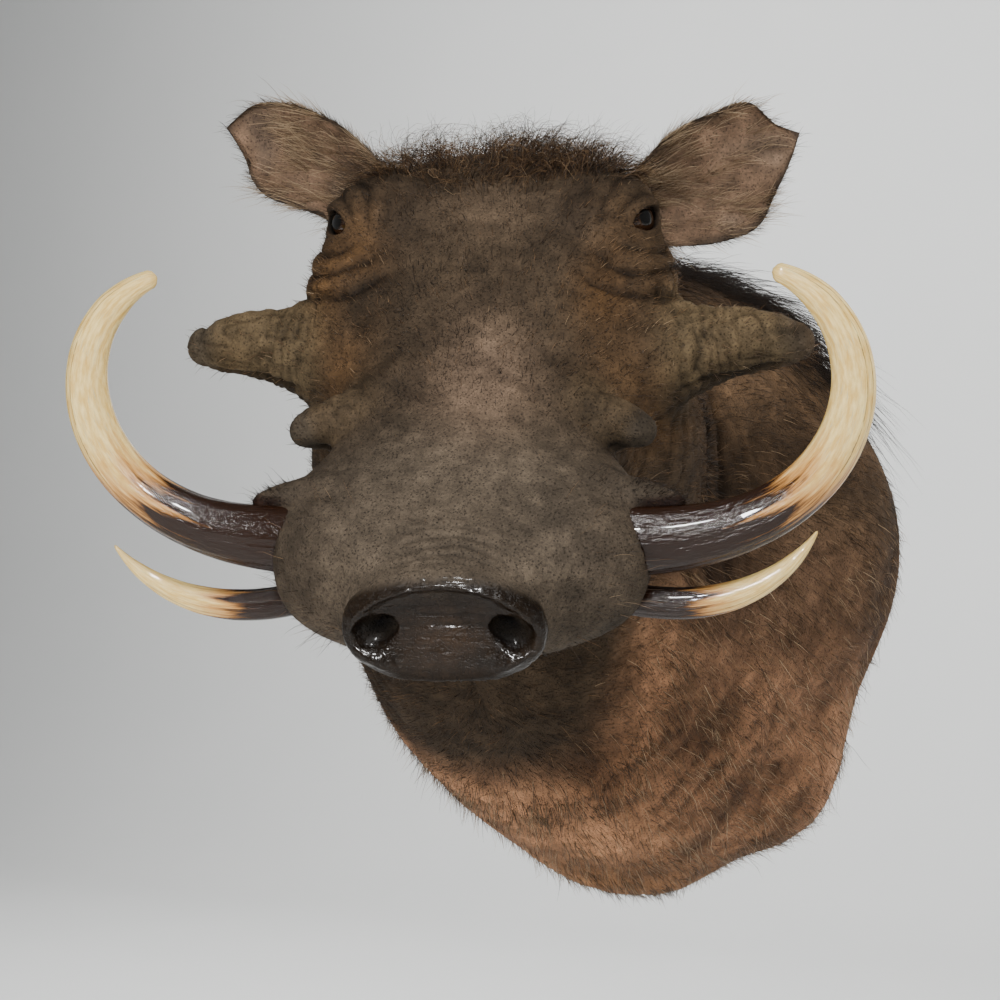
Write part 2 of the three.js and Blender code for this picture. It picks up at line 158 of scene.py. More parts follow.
def bent_cone(points, line, radii):
    """Distance to a chain of balls along a bent line: the least over its segments of the distance to the
    segment less the radius there."""
    line = np.array(line, float)
    share = np.linspace(0, 1, 13)
    spine = smooth_rows(np.column_stack([np.linspace(0, 1, len(line)), line]), share)[:, 1:]
    thick = np.interp(share, np.linspace(0, 1, len(radii)), radii)
    least = np.float32(1e9)
    for a, b, ra, rb in zip(spine[:-1], spine[1:], thick[:-1], thick[1:]):
        run = b - a
        t = np.clip(sum((p - q) * d for p, q, d in zip(points, a, run)) / (run @ run), 0, 1)
        off = sum((p - q - t * d) ** 2 for p, q, d in zip(points, a, run))
        least = np.minimum(least, np.sqrt(off) - (ra + (rb - ra) * t))
    return least


def nose_front(across, up):
    """How far back the face of the nose disc lies: a dish below a raised rim that overhangs at the top, with a
    pad in the middle and a swelling under each nostril."""
    a, b = across / 57, (up + 2) / 35
    r = np.hypot(a, b)
    rim = 4.4 * np.exp(-((r - 0.92) / 0.11) ** 2) * np.clip(0.9 * b + 0.35, 0.12, 1)
    pad = 4.5 * np.exp(-(a / 0.36) ** 2 - ((b + 0.4) / 0.5) ** 2)
    swell = 3.5 * np.exp(-((np.abs(a) - 0.62) / 0.2) ** 2 - ((b + 0.5) / 0.26) ** 2)
    return 8 * np.clip(1 - r * r, 0, 1) - rim - pad - swell


def trunk(mount, head):
    """Skull, neck, shoulders, forelegs, brisket and jowls in one field, from points in both frames."""
    x, y, z = mount
    across, back, up = head
    skull = section_field(across, up, *columns_at(SKULL, back))
    skull = cut(skull, back - nose_front(across, up), 3)
    skull = cut(skull, 412 - back, 10)
    *shape, middle = columns_at(NECK, y)
    neck = section_field(x - middle, z, *shape)
    neck = cut(neck, y + 392, 12)
    whole = join(skull, neck, 24)
    for side in (-1, 1):
        whole = join(whole, ellipsoid(mount, (95 * side, -52, 34), (76, 104, 100)), 30)
        whole = join(whole, ellipsoid(mount, (68 * side, -52, -110), (59, 84, 80)), 22)
        whole = join(whole, ellipsoid(head, (92 * side + 9, 284, -28), (36, 70, 56)), 22)
    return join(whole, ellipsoid(mount, (-14, -82, -136), (82, 98, 84)), 26)


bridge = smooth_rows(SKULL, np.array([100.0]))[0, 1:]
print("field at the bridge of the nose:", float(section_field(0.0, 60.0, *bridge)))

# %% [markdown]
# ## From a field to a skin
# The block is meshed where the field changes sign. A rough pass finds where the skin runs, and only a band
# round it is worked out finely. A little smoothing, pulling in and pushing back out in turn, takes away the
# steps of the block. The skin is then cut into pieces that share their edge points and their normals.

# %% Meshing tools


def block(low, high, step):
    """Three axes of a block of points."""
    return [np.arange(a, b + step, step, dtype=np.float32) for a, b in zip(low, high)]


def skin_of(field_at, low, high, step):
    """Points and quads where a field is zero. The field is worked out at three times the step, then again at
    each fine point within a band of that rough skin."""
    rough_axes, axes = block(low, high, 3 * step), block(low, high, step)
    rough = field_at([g.ravel() for g in np.meshgrid(*rough_axes, indexing="ij")])
    rough = rough.reshape([len(a) for a in rough_axes])
    nearest = [np.minimum((np.arange(len(a)) + 1) // 3, len(r) - 1) for a, r in zip(axes, rough_axes)]
    band = 6.5 * step
    field = np.clip(rough[np.ix_(*nearest)], -band, band).astype(np.float32)
    spots = np.nonzero(np.abs(field) < band)
    field[spots] = field_at([a[i] for a, i in zip(axes, spots)])
    grid = openvdb.FloatGrid(float(band))
    grid.copyFromArray(np.ascontiguousarray(field))
    points, quads = grid.convertToQuads(0.0)
    return points.astype(float) * step + np.array(low), quads.astype(np.int64)


def relaxed(points, quads, passes):
    """Taubin smoothing: each pass moves a point 0.5 of the way to its neighbours' mean, then 0.52 back."""
    a = np.concatenate([quads[:, i] for i in range(4)])
    b = np.concatenate([quads[:, (i + 1) % 4] for i in range(4)])
    ends, others = np.concatenate([a, b]), np.concatenate([b, a])
    degree = np.bincount(ends, minlength=len(points))[:, None]
    for amount in [0.5, -0.52] * passes:
        mean = np.stack([np.bincount(ends, points[others, k], len(points)) for k in range(3)], 1) / degree
        points = points + amount * (mean - points)
    return points


def normals_of(points, faces):
    """Unit normals: the sum over a point's faces of the cross product of each face's diagonals."""
    p = points[faces]
    cross = np.cross(p[:, 2] - p[:, 0], p[:, -1] - p[:, 1])
    total = np.stack([np.bincount(faces.ravel(), np.repeat(cross[:, k], faces.shape[1]), len(points))
                      for k in range(3)], 1)
    return total / (np.linalg.norm(total, axis=1, keepdims=True) + 1e-12)


def cut_out(points, quads, keep):
    """The kept faces of a skin as triangles, closed by a fan from the open edge to one point inside. An edge
    is open where no other kept face runs along it the other way. Also gives the old number of each point."""
    part, size = quads[keep], len(points)
    edges = np.concatenate([part[:, [i, (i + 1) % 4]] for i in range(4)])
    rim = edges[~np.isin(edges[:, 0] * size + edges[:, 1], edges[:, 1] * size + edges[:, 0])]
    used = np.unique(part)
    number = np.zeros(size, dtype=np.int64)
    number[used] = np.arange(len(used))
    fan = np.column_stack([number[rim[:, ::-1]], np.full(len(rim), len(used))])
    faces = np.concatenate([number[part[:, [0, 1, 2]]], number[part[:, [0, 2, 3]]], fan])
    return np.vstack([points[used], points[rim].mean(axis=(0, 1))]), faces, np.append(used, used[0])


def put_mesh(name, points, faces, normals=None, **values):
    """Writes points in millimetres and faces of one size into a smooth mesh object in metres. Each further
    array becomes a point attribute: one column a number, three a vector, four a colour."""
    mesh = bpy.data.meshes.new(name)
    mesh.vertices.add(len(points))
    mesh.vertices.foreach_set("co", (points * 0.001).astype(np.float32).ravel())
    mesh.loops.add(faces.size)
    mesh.loops.foreach_set("vertex_index", faces.astype(np.int32).ravel())
    mesh.polygons.add(len(faces))
    mesh.polygons.foreach_set("loop_start", np.arange(0, faces.size, faces.shape[1], dtype=np.int32))
    mesh.update(calc_edges=True)
    mesh.shade_smooth()
    kinds = {1: ("FLOAT", "value"), 3: ("FLOAT_VECTOR", "vector"), 4: ("FLOAT_COLOR", "color")}
    for key, data in values.items():
        kind, field = kinds[1 if data.ndim == 1 else data.shape[1]]
        mesh.attributes.new(key, kind, "POINT").data.foreach_set(field, data.astype(np.float32).ravel())
    mesh.validate()
    if normals is not None:
        mesh.normals_split_custom_set_from_vertices(normals.tolist())
    piece = bpy.data.objects.new(name, mesh)
    bpy.context.scene.collection.objects.link(piece)
    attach(piece, "root")
    print(f"{name}: {len(points)} points, {len(faces) * (faces.shape[1] - 2)} triangles")
    return piece


# %% [markdown]
# ## The head's skin
# Brows, bags under the eyes, four warts and the lip flaps over the tusks are joined on. Then the lids are
# opened to an almond, and the eye sockets, nostrils, tusk sockets and the line of the mouth are cut. Each
# form only changes the points near it, so the rest isn't worked out again.

# %% Forms of the face
SEAM = -245.0
EYE, EYE_RADIUS = np.array([90.0, 309.0, 127.0]), 14.5
GAZE = np.array([0.72, -0.58, 0.38]) / np.linalg.norm([0.72, -0.58, 0.38])
LID_UP = np.array([0.0, 0.0, 1.0]) - GAZE * GAZE[2]
LID_UP /= np.linalg.norm(LID_UP)
LID_ALONG = np.cross(LID_UP, GAZE)
CHEEK_WART = ([[84, 252, 52], [122, 256, 60], [158, 259, 64], [190, 261, 62]],
              [39, 34.5, 29, 24.5, 21.5, 18.5, 13], 5)
NOSE_WART = ([[46, 180, 62], [68, 170, 56], [88, 165, 51], [102, 163, 48]], [21, 18, 16.5, 15.5, 14, 11], 0)
LIP_FLAP = ([[80, 106, 33], [106, 101, 32], [122, 98, 30]], [15, 11, 7], 4)
NOSTRIL = ([[54, -6, -9], [42, 0, -4], [29, 20, 3]], [6.5, 10.5, 6])
UPPER_EXIT, LOWER_EXIT = np.array([102.0, 89, 12]), np.array([98.0, 86, -26])


def mirrored(point, side, skew=0.0):
    """A point of the animal's left on either side, with the pair moved over by skew."""
    return np.array(point, float) * (side, 1, 1) + (skew, 0, 0)


def face_field(head):
    """The whole head, from points in its own frame."""
    mount = list(to_mount(np.stack(head, 1)).T)
    field = trunk(mount, head)

    def change(low, high, form, soft, combine=join):
        near = np.nonzero(np.all([(p > a) & (p < b) for p, a, b in zip(head, low, high)], axis=0))[0]
        field[near] = combine(field[near], form([p[near] for p in head]), soft)

    def swelling(middle, radii, soft, combine=join):
        room = np.array(radii) + soft + 4
        change(middle - room, middle + room, lambda p: ellipsoid(p, middle, radii), soft, combine)

    def growth(line, radii, soft, combine=join):
        room = max(radii) + soft + 4
        low, high = np.min(line, 0) - room, np.max(line, 0) + room
        change(low, high, lambda p: bent_cone(p, line, radii), soft, combine)

    for side in (-1, 1):
        eye = mirrored(EYE, side)
        along, upward, gaze = (v * (side, 1, 1) for v in (LID_ALONG, LID_UP, GAZE))

        def almond(p):
            u, v, w = (sum((q - m) * a for q, m, a in zip(p, eye, axis)) for axis in (along, upward, gaze))
            return np.maximum((np.hypot(u / 13.5, (v + 1) / 7.4) - 1) * 8, -w)

        swelling(mirrored((72, 318, 136), side), (32, 36, 17), 16)
        swelling(mirrored((92, 284, 98), side), (25, 36, 26), 14)
        for line, radii, skew in (CHEEK_WART, NOSE_WART, LIP_FLAP):
            growth([mirrored(p, side, skew) for p in line], radii, 0.42 * radii[0])
        swelling(eye, (18.2, 18.2, 18.2), 7)
        swelling(eye + upward * 8 + gaze * 4, (17, 17, 9), 5)
        change(eye - 30, eye + 30, almond, 1.5, cut)
        swelling(eye, [EYE_RADIUS + 0.3] * 3, 0.6, cut)
        growth([mirrored(p, side) for p in NOSTRIL[0]], NOSTRIL[1], 4, cut)
        for exit_at, radius, skew in ((UPPER_EXIT, 18.4, 4), (LOWER_EXIT, 7.8, 0)):
            socket = [mirrored(exit_at + (d, 0, 0.05 * d), side, skew) for d in (-40, 0, 26)]
            growth(socket, [radius, radius], 2.5, cut)

    across, back, up = head
    mouth = np.abs(up + 36 + 0.14 * np.clip(back - 20, 0, None)) - 1.6
    mouth = np.maximum(np.maximum(mouth, back - 150), -(field + 13))
    return cut(field, mouth, 2)


HEAD_STEP = 1.8
face_points, face_quads = skin_of(face_field, (-212, -10, -294), (216, 430, 180), HEAD_STEP)
face_points = relaxed(face_points, face_quads, 1)
print("head skin:", len(face_points), "points before its wrinkles")

# %% [markdown]
# ## Wrinkles
# Folds are moved into the mesh along its normals, so they are there in any light. Each is a wave of the
# distance to something: to the eye for the bags, to the root of a wart for its rings, to the nose disc for
# the creases above it. Slow noise bends the waves so that no two are alike.

# %% Noise and waves


def noise(points, size, seed):
    """Smooth noise from -1 to 1: random values at the corners of a lattice, blended across each cell by
    t * t * (3 - 2 t)."""
    place = points / size + 31.7 * seed
    cell = np.floor(place).astype(np.int64)
    t = place - cell
    t = t * t * (3 - 2 * t)
    total = np.zeros(len(points))
    for corner in np.ndindex(2, 2, 2):
        key = (cell + corner) @ np.array([73856093, 19349663, 83492791]) + seed * 2654435
        key = (key ^ (key >> 13)) * 1274126177 & 0x7FFFFFFF
        key = (key ^ (key >> 11)) * 668265263 & 0x7FFFFFFF
        weight = np.prod(np.where(np.array(corner) == 1, t, 1 - t), axis=1)
        total += weight * (key / 0x3FFFFFFF - 1)
    return total


def bump(value, low, high):
    """Smooth step from 0 at low to 1 at high."""
    t = np.clip((value - low) / (high - low), 0, 1)
    return t * t * (3 - 2 * t)


def bell(value, middle, width):
    """A bell of height 1."""
    return np.exp(-((value - middle) / width) ** 2)


def fold(phase):
    """A wave with round tops and narrow valleys, from -1 to 0."""
    return np.abs(np.sin(np.pi * phase)) ** 0.6 - 1


def creases(points, size, seed, width=0.16):
    """A web of narrow valleys, -1 deep, along the lines where slow noise crosses zero."""
    return -bump(np.abs(noise(points, size, seed)), width, 0.0)


def wart_place(points, wart):
    """Share of the way along a wart from root to tip, how far below its spine a point is, and a mask that is
    1 on the wart, for both sides."""
    line, radii, skew = wart
    share, under, mask = np.zeros((3, len(points)))
    for side in (-1, 1):
        root, tip = mirrored(line[0], side, skew), mirrored(line[-1], side, skew)
        run = tip - root
        t = (points - root) @ run / (run @ run)
        away = points - root - np.clip(t, 0, 1)[:, None] * run
        near = bump(np.linalg.norm(away, axis=1), radii[0] * 1.35, radii[0] * 0.8) * bump(t, 0.05, 0.4)
        share, under = (np.where(near > mask, new, old) for new, old in ((t, share), (-away[:, 2], under)))
        mask = np.maximum(near, mask)
    return share, under, mask


def face_wrinkles(points):
    """Height of the head's skin over the smooth form, in millimetres."""
    x, back, up = points.T
    warp = noise(points, 22, 1) + 0.5 * noise(points, 9, 2)
    height = 0.7 * noise(points, 30, 3) + 0.4 * noise(points, 11, 4) + 0.22 * noise(points, 5, 5)
    for side in (-1, 1):
        away = np.linalg.norm((points - mirrored(EYE + GAZE * 9, side)) * (1, 0.8, 1.1), axis=1)
        above = (points - mirrored(EYE, side)) @ (LID_UP * (side, 1, 1))
        bags = bump(-above, 0, 14) * bump(x * side, 52, 74) * bump(away, 15, 22) * bump(away, 74, 52)
        height += 3.6 * bags * fold(away / 14.5 + 0.22 * warp + 0.1)
        lid = bump(above, 4, 10) * bump(x * side, 48, 66) * bump(away, 14, 18) * bump(away, 44, 30)
        height += 2.4 * lid * fold(away / 11 + 0.2 * warp + 0.35)
        temple = bump(x * side, 58, 84) * bump(up, 20, 50) * bump(up, 128, 100) * bell(back, 268, 42)
        height += 1.7 * temple * creases(points * (1, 0.7, 1.6), 13, 8 + side)
    for wart, count, depth in ((CHEEK_WART, 15, 1.7), (NOSE_WART, 6, 0.9)):
        share, under, mask = wart_place(points, wart)
        rings = bump(share, 0.12, 0.3) * bump(share, 0.75, 0.55)
        height += depth * mask * rings * fold(share * count + 0.8 * warp)
        lumps = 0.9 * noise(points, 16, 6) + 0.5 * noise(points, 6, 7)
        height += mask * (lumps + 0.7 * creases(points, 10, 17, 0.12))
        height -= 2.4 * mask * bell(under - 2 * warp, 9, 2.2) * bump(share, 0.2, 0.45) * bump(share, 1.0, 0.85)
    disc = bump(back + 0.3 * np.clip(up - 14, 0, None), 15, 8)
    crease = bump(back, 12, 20) * bump(back, 62, 34) * bump(up, 18, 30) * bell(x, 4, 40)
    height += 1.5 * crease * fold((back + 0.006 * x * x) / 7.5 + 0.3 * warp)
    height += 0.5 * crease * creases(points * (1, 0.5, 1), 6, 18)
    cheek = bell(back, 222, 40) * bump(up, 58, 20) * bump(np.abs(x), 58, 84)
    height += 1.6 * cheek * fold((back - 0.6 * up) / 15 + 0.5 * warp)
    lines = bell(x, 0, 30) * bell(up, 6, 11)
    radial = bump(np.abs(x), 18, 34) * bump(-up, 4, 14) * bump(np.hypot(x / 57, (up + 2) / 35), 0.95, 0.75)
    wet_folds = 1.7 * lines * fold(up / 6.2 + 0.3 * warp)
    wet_folds += 0.5 * creases(points, 7, 19, 0.2) + 0.4 * noise(points, 9, 20)
    wet_folds += 1.5 * radial * fold(np.arctan2(up + 2, np.abs(x) - 38) * 3.4 + 0.4 * warp)
    return height * (1 - disc) + disc * wet_folds


def neck_folds(points):
    """Height of the neck's skin: slow lumps of muscle, folds behind the angle of the jaw, and fine creases."""
    x, y, z = points.T
    warp = noise(points, 40, 11)
    height = 2.2 * noise(points, 62, 12) + 1.1 * noise(points, 24, 13) + 0.45 * noise(points, 10, 14)
    beside = bell(y, -232, 34) * bump(np.abs(x), 60, 95) * bell(z, 70, 75)
    beside = beside * np.where(x > 0, 1.0, 0.4)
    height += 6.0 * beside * fold((y + 0.12 * (z - 80)) / 24 + 0.55 * warp + 0.3 * noise(points, 17, 16))
    throat = bell(y, -200, 60) * bell(z, -110, 60)
    return height + 1.6 * throat * fold((y - 0.5 * z) / 24 + 0.5 * warp) + 0.5 * creases(points, 20, 15)


face_mount = to_mount(face_points)
to_neck = bump(face_mount[:, 1], SEAM - 70, SEAM - 8)
face_height = face_wrinkles(face_points)
face_height = face_height + to_neck * (neck_folds(face_mount) - face_height)
face_mount = face_mount + normals_of(face_mount, face_quads) * face_height[:, None]
face_points = to_head(face_mount)
face_normals = normals_of(face_mount, face_quads)
print("wrinkles run from", face_height.min().round(2), "to", face_height.max().round(2), "mm")

# %% [markdown]
# ## The neck's skin
# Neck and chest come from the same field, in the frame of the wall. The back is cut flat at the wall, and
# takes a recess for the plywood. Near the seam this skin lies a hair's breadth lower, so that the head's
# skin covers its edge.

# %% Neck and chest
BOARD_MARGIN, BOARD_DEPTH, PLAY = 12.0, 18.0, 0.4


def neck_field(mount):
    """Everything behind the seam, with the back cut at the wall and the board's recess taken out."""
    x, y, z = mount
    field = trunk(mount, list(to_head(np.stack(mount, 1)).T))
    field = field + 0.3 * bump(y, SEAM + 6, SEAM + 2)
    field = cut(field, -y, 3)
    half, top, keel, widest, roof, chin, _ = NECK[-1, 1:]
    inset = BOARD_MARGIN - PLAY
    recess = section_field(x, z, half - inset, top - inset, keel + inset, widest, roof, chin)
    return np.maximum(field, -np.maximum(recess, -(BOARD_DEPTH + PLAY) - y))


NECK_STEP = 2.7
neck_points, neck_quads = skin_of(neck_field, (-190, -262, -250), (190, 8, 284), NECK_STEP)
neck_points = relaxed(neck_points, neck_quads, 1)
neck_height = neck_folds(neck_points) * bump(neck_points[:, 1], -2, -16)
neck_points = neck_points + normals_of(neck_points, neck_quads) * neck_height[:, None]
neck_normals = normals_of(neck_points, neck_quads)
print("neck skin:", len(neck_points), "points")

# %% [markdown]
# ## Colour of the skin
# A tanned hide is dyed by its own history: black wet nose, grey-brown muzzle, rusty cheeks, pale warts and
# a red-brown chest with a dark bib. Each patch is a soft mask of the place on the head, and the masks are
# laid over each other as washes of paint are. Some washes are painted shade: the sides of the muzzle and the
# forehead, the underside of the head and of the warts, the nostrils, the rims of the tusk sockets and the neck
# behind the jaw. Valleys of the wrinkles are darker and their crests lighter, as painted shade and light. The
# result is an attribute that the material reads.

# %% Washes of colour


def wash(base, mask, colour):
    """Lays a colour over a base: base * (1 - mask) + colour * mask."""
    return base + np.clip(mask, 0, 1)[:, None] * (np.array(colour) - base)


def face_tint(points):
    """Colour of the head's skin, some of it painted shade, and how wet it is."""
    x, back, up = points.T
    wide = np.abs(x)
    slow = noise(points, 45, 21)
    tint = np.tile([0.050, 0.034, 0.0205], (len(points), 1)) * (1 + 0.35 * slow)[:, None]
    tint = wash(tint, 0.85 * bump(back, 165, 95), [0.088, 0.068, 0.048])
    # Painted shade: the sides of the muzzle and midface are darker than the middle.
    tint = wash(tint, 0.55 * bump(back, 165, 95) * bump(wide, 46, 96), [0.050, 0.037, 0.025])
    tint = wash(tint, 0.8 * bell(x, 8, 28) * bell(back, 165, 42) * bump(up, 40, 62), [0.185, 0.125, 0.084])
    tint = wash(tint, 0.55 * bell(x, 0, 48) * bell(back, 300, 28) * bump(up, 80, 110), [0.125, 0.086, 0.055])
    tint = wash(tint, 0.75 * bump(wide, 42, 86) * bell(back, 240, 50) * bump(up, -20, 40) * (0.6 + 0.6 * slow),
                [0.120, 0.056, 0.016])
    tint = wash(tint, 0.6 * bell(back, 300, 34) * bump(wide, 62, 90) * bump(up, 128, 110), [0.085, 0.052, 0.026])
    # Painted shade: a dark band down each side of the forehead, inside the eyes.
    tint = wash(tint, 0.65 * bell(wide, 56, 16) * bell(back, 286, 30) * bump(up, 60, 100), [0.030, 0.020, 0.0125])
    tint = wash(tint, 0.6 * bump(back, 322, 350), [0.055, 0.036, 0.022])
    # Painted shade: the underside of the head behind the nose disc is darkened.
    tint = wash(tint, 0.8 * bump(up, 0, -40) * bump(back, 30, 100), [0.030, 0.020, 0.012])
    for wart, pale in ((CHEEK_WART, [0.120, 0.086, 0.046]), (NOSE_WART, [0.072, 0.049, 0.027])):
        share, under, mask = wart_place(points, wart)
        tint = wash(tint, 0.85 * mask, pale)
        tint = wash(tint, 0.7 * mask * bump(share, 0.84, 1.02), [0.045, 0.037, 0.028])
        # Painted shade: the undersides of the warts are darkened.
        tint = wash(tint, 0.8 * mask * bump(under, 3, 14), [0.026, 0.017, 0.010])
    # Painted shade: a near-black ring on the lips round each tusk socket.
    for exit_at, size in ((UPPER_EXIT, 25), (LOWER_EXIT, 16)):
        off = np.hypot(back - exit_at[1] - 3, up - exit_at[2] - 3)
        tint = wash(tint, bump(off, size, size * 0.82) * bump(wide, 98, 112), [0.014, 0.006, 0.0035])
    eye_off = np.minimum(*(np.linalg.norm(points - mirrored(EYE, side), axis=1) for side in (-1, 1)))
    tint = wash(tint, 0.9 * bump(eye_off, 20, 15.5), [0.014, 0.009, 0.006])
    edge = back + 0.45 * np.clip(up - 12, 0, None)
    wet = bump(edge + 2 * noise(points, 8, 25), 15, 5)
    wet = wet * (1 - 0.7 * bump(-up, 23, 31))
    tint = wash(tint, bump(edge, 15, 7), [0.012, 0.0072, 0.0038])
    tint = wash(tint, 0.6 * wet * bell(x, 0, 30) * bell(up, -6, 20), [0.036, 0.020, 0.0105])
    # Painted shade: the nostrils are painted near black.
    nostril = bell(np.abs(x), 38, 13) * bell(up, -3, 9) * bump(back, -1, 9) * (back < 40)
    tint = wash(tint, nostril, [0.003, 0.002, 0.0015])
    return tint, wet * (1 - 0.45 * nostril)


def neck_tint(points):
    """Colour of neck and chest: red-brown, greyer on the shoulder, with a dark bib below the snout, and
    painted shade on the neck behind the jaw.
    """
    x, y, z = points.T
    slow = noise(points, 60, 23)
    tint = np.tile([0.320, 0.162, 0.084], (len(points), 1)) * (1 + 0.3 * slow)[:, None]
    tint = wash(tint, 0.9 * bump(z, -30, 70), [0.060, 0.039, 0.021])
    tint = wash(tint, 0.8 * bump(np.abs(x), 70, 130) * bell(z, 0, 80), [0.038, 0.0255, 0.016])
    tint = wash(tint, 0.9 * bell(x, 28, 50) * bell(y, -220, 75) * bell(z, -68, 38), [0.020, 0.009, 0.0045])
    tint = wash(tint, 0.75 * bell(x, 50, 22) * bell(z, -95, 50) * bump(y, -110, -180), [0.038, 0.015, 0.005])
    # Painted shade: the neck just behind the jaw is darkened.
    tint = wash(tint, 0.8 * bell(y, -238, 30) * bump(np.abs(x), 60, 95) * bell(z, 70, 80), [0.030, 0.018, 0.010])
    tint = wash(tint, 0.6 * bump(z, -165, -215), [0.140, 0.066, 0.022])
    tint = wash(tint, 0.6 * bump(z, 180, 235), [0.028, 0.019, 0.013])
    return tint


def speckled_and_crease_shaded(tint, points, height):
    """Speckles a tint, with painted shade in the valleys of the wrinkles and painted light on their crests."""
    # Painted shade in the valleys of the wrinkles and painted light on their crests, then speckles.
    crease_shade_and_speckle = np.clip(1 + 0.26 * np.minimum(height, 1.2), 0.30, 1.3)
    crease_shade_and_speckle = crease_shade_and_speckle * (1 + 0.18 * noise(points, 6, 22) + 0.22 * noise(points, 17, 26))
    return np.column_stack([np.clip(tint * crease_shade_and_speckle[:, None], 0.003, 1), np.ones(len(tint))])


tint, wet = face_tint(face_points)
tint = tint + to_neck[:, None] * (neck_tint(face_mount) - tint)
face_colour = speckled_and_crease_shaded(tint, face_mount, face_height)
neck_colour = speckled_and_crease_shaded(neck_tint(neck_points), neck_points, neck_height)
skins = []
middle_y = face_mount[face_quads].mean(axis=1)[:, 1]
middle_back = face_points[face_quads].mean(axis=1)[:, 1]
PARTING = 205.0
for name, keep in (("hide_muzzle", middle_back < PARTING), ("hide_face", middle_back >= PARTING)):
    points, faces, old = cut_out(face_mount, face_quads, keep & (middle_y < SEAM + 3))
    skins.append(put_mesh(name, points, faces, face_normals[old], tint=face_colour[old], wet=wet[old]))
points, faces, old = cut_out(neck_points, neck_quads, neck_points[neck_quads].mean(axis=1)[:, 1] > SEAM - 3)
skins.append(put_mesh("hide_neck", points, faces, neck_normals[old], tint=neck_colour[old],
                      wet=np.zeros(len(old))))
for piece in skins:
    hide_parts("hide")

# %% [markdown]
# ## Tusks
# A tusk is a profile carried along a curl: the heading turns faster towards the tip, and the place is the
# running sum of the heading. The oval section has long shallow grooves, deepest near the root.

# %% Tusks


def tube_faces(rows, columns):
    """Triangles of a closed tube: two for each cell of a grid that wraps round, and a fan to one extra point
    at each end."""
    r, c = np.meshgrid(np.arange(rows - 1), np.arange(columns), indexing="ij")
    a = (r * columns + c).ravel()
    b = (r * columns + (c + 1) % columns).ravel()
    sides = np.concatenate([np.stack([a, b, b + columns], 1), np.stack([a, b + columns, a + columns], 1)])
    ring = np.arange(columns)
    first, last = rows * columns, (rows - 1) * columns
    ends = np.concatenate([np.stack([np.full(columns, first), np.roll(ring, -1), ring], 1),
                           np.stack([np.full(columns, first + 1), last + ring, last + np.roll(ring, -1)], 1)])
    return np.concatenate([sides, ends])


def outward(points, faces):
    """Triangles turned round if the volume they close, the sum of a . (b x c), is negative."""
    a, b, c = (points[faces[:, k]] for k in range(3))
    return faces[:, ::-1] if np.sum(a * np.cross(b, c)) < 0 else faces


def tusk(name, node, side, exit_at, heading, quicken, length, buried, radii, flat, skew, grooves):
    """Place = exit + sum of (cos, sin) of the heading in a plane that leans back 15 degrees, where heading
    goes from first to last as share ** quicken. Radius = table * (1 + grooves), oval by flat."""
    rows, columns = 170, 72
    run = np.linspace(-buried, length, rows)
    share = np.clip(run / length, 0, 1)
    angle = np.radians(heading[0] + (heading[1] - heading[0]) * share ** quicken)
    step = np.diff(run, prepend=run[0])
    middle = 0.5 * (angle + np.roll(angle, 1))
    middle[0] = angle[0]
    out, rise = np.cumsum(np.cos(middle) * step), np.cumsum(np.sin(middle) * step)
    at_exit = np.interp(0, run, out), np.interp(0, run, rise)
    lean = np.radians(15)
    up_axis = np.array([0, np.sin(lean), np.cos(lean)])
    side_axis = np.array([side, 0, 0])
    through = np.array([0, -np.cos(lean), np.sin(lean)])
    spine = mirrored(exit_at, side, skew) + np.outer(out - at_exit[0], side_axis)
    spine = spine + np.outer(rise - at_exit[1], up_axis)
    inward = np.outer(-np.sin(angle), side_axis) + np.outer(np.cos(angle), up_axis)
    around = np.arange(columns) / columns * 2 * np.pi
    thick = np.interp(share, np.linspace(0, 1, len(radii)), radii)
    thick = thick * np.sqrt(np.clip((length - run) / (0.5 * thick), 0, 1)).clip(0.25, 1)
    wobble = 0.10 * np.sin(run / 23.0 + 2 * side)
    ridge = sum(depth * fold((around[None, :] + wobble[:, None]) * count / (2 * np.pi) + phase)
                for count, depth, phase in grooves)
    ridge = ridge * (1.25 - 0.95 * share)[:, None]
    radius = thick[:, None] * (1 + ridge)
    shell = (spine[:, None] + (radius * flat * np.cos(around))[..., None] * through
             + (radius * np.sin(around))[..., None] * inward[:, None])
    points = np.concatenate([shell.reshape(-1, 3), spine[[0, -1]]])
    faces = outward(points, tube_faces(rows, columns))
    along = np.append(np.repeat(share, columns), [0, 1])
    grain = np.stack(np.broadcast_arrays(np.cos(around)[None], np.sin(around)[None], (run / 60)[:, None]), -1)
    grain = np.concatenate([grain.reshape(-1, 3), [[0, 0, run[0] / 60], [0, 0, run[-1] / 60]]])
    piece = put_mesh(name, to_mount(points), faces, along=along, grain=grain)
    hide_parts(node)
    return piece


SIDES = ((-1, "right"), (1, "left"))
tusks = []
for side, word in SIDES:
    tusks.append(tusk(f"upper_ivory_{word}", f"upper_tusk_{word}", side, UPPER_EXIT, (2, 163), 1.5, 256, 42,
                      (22, 19.5, 17, 15.5, 14.6, 13.6, 12, 9.5, 5), 0.86, 4,
                      ((3, 0.05, 0.2), (7, 0.035, 0.1), (15, 0.018, 0.4))))
    heading = (-12 + 2 * side, 57 + 3 * side)
    tusks.append(tusk(f"lower_ivory_{word}", f"lower_tusk_{word}", side, LOWER_EXIT, heading, 1.3,
                      126, 34, (10, 10, 9.8, 8.8, 7, 4.4, 0.8), 0.8, 0, ((3, 0.10, 0.35), (9, 0.02, 0.0))))

# %% [markdown]
# ## Eyes
# A taxidermy eye is a glass cap painted behind. One ball of glass-like gloss with a slightly proud cornea
# does the same: the radius swells round the direction of gaze, and the material paints iris and pupil by
# the angle from it.

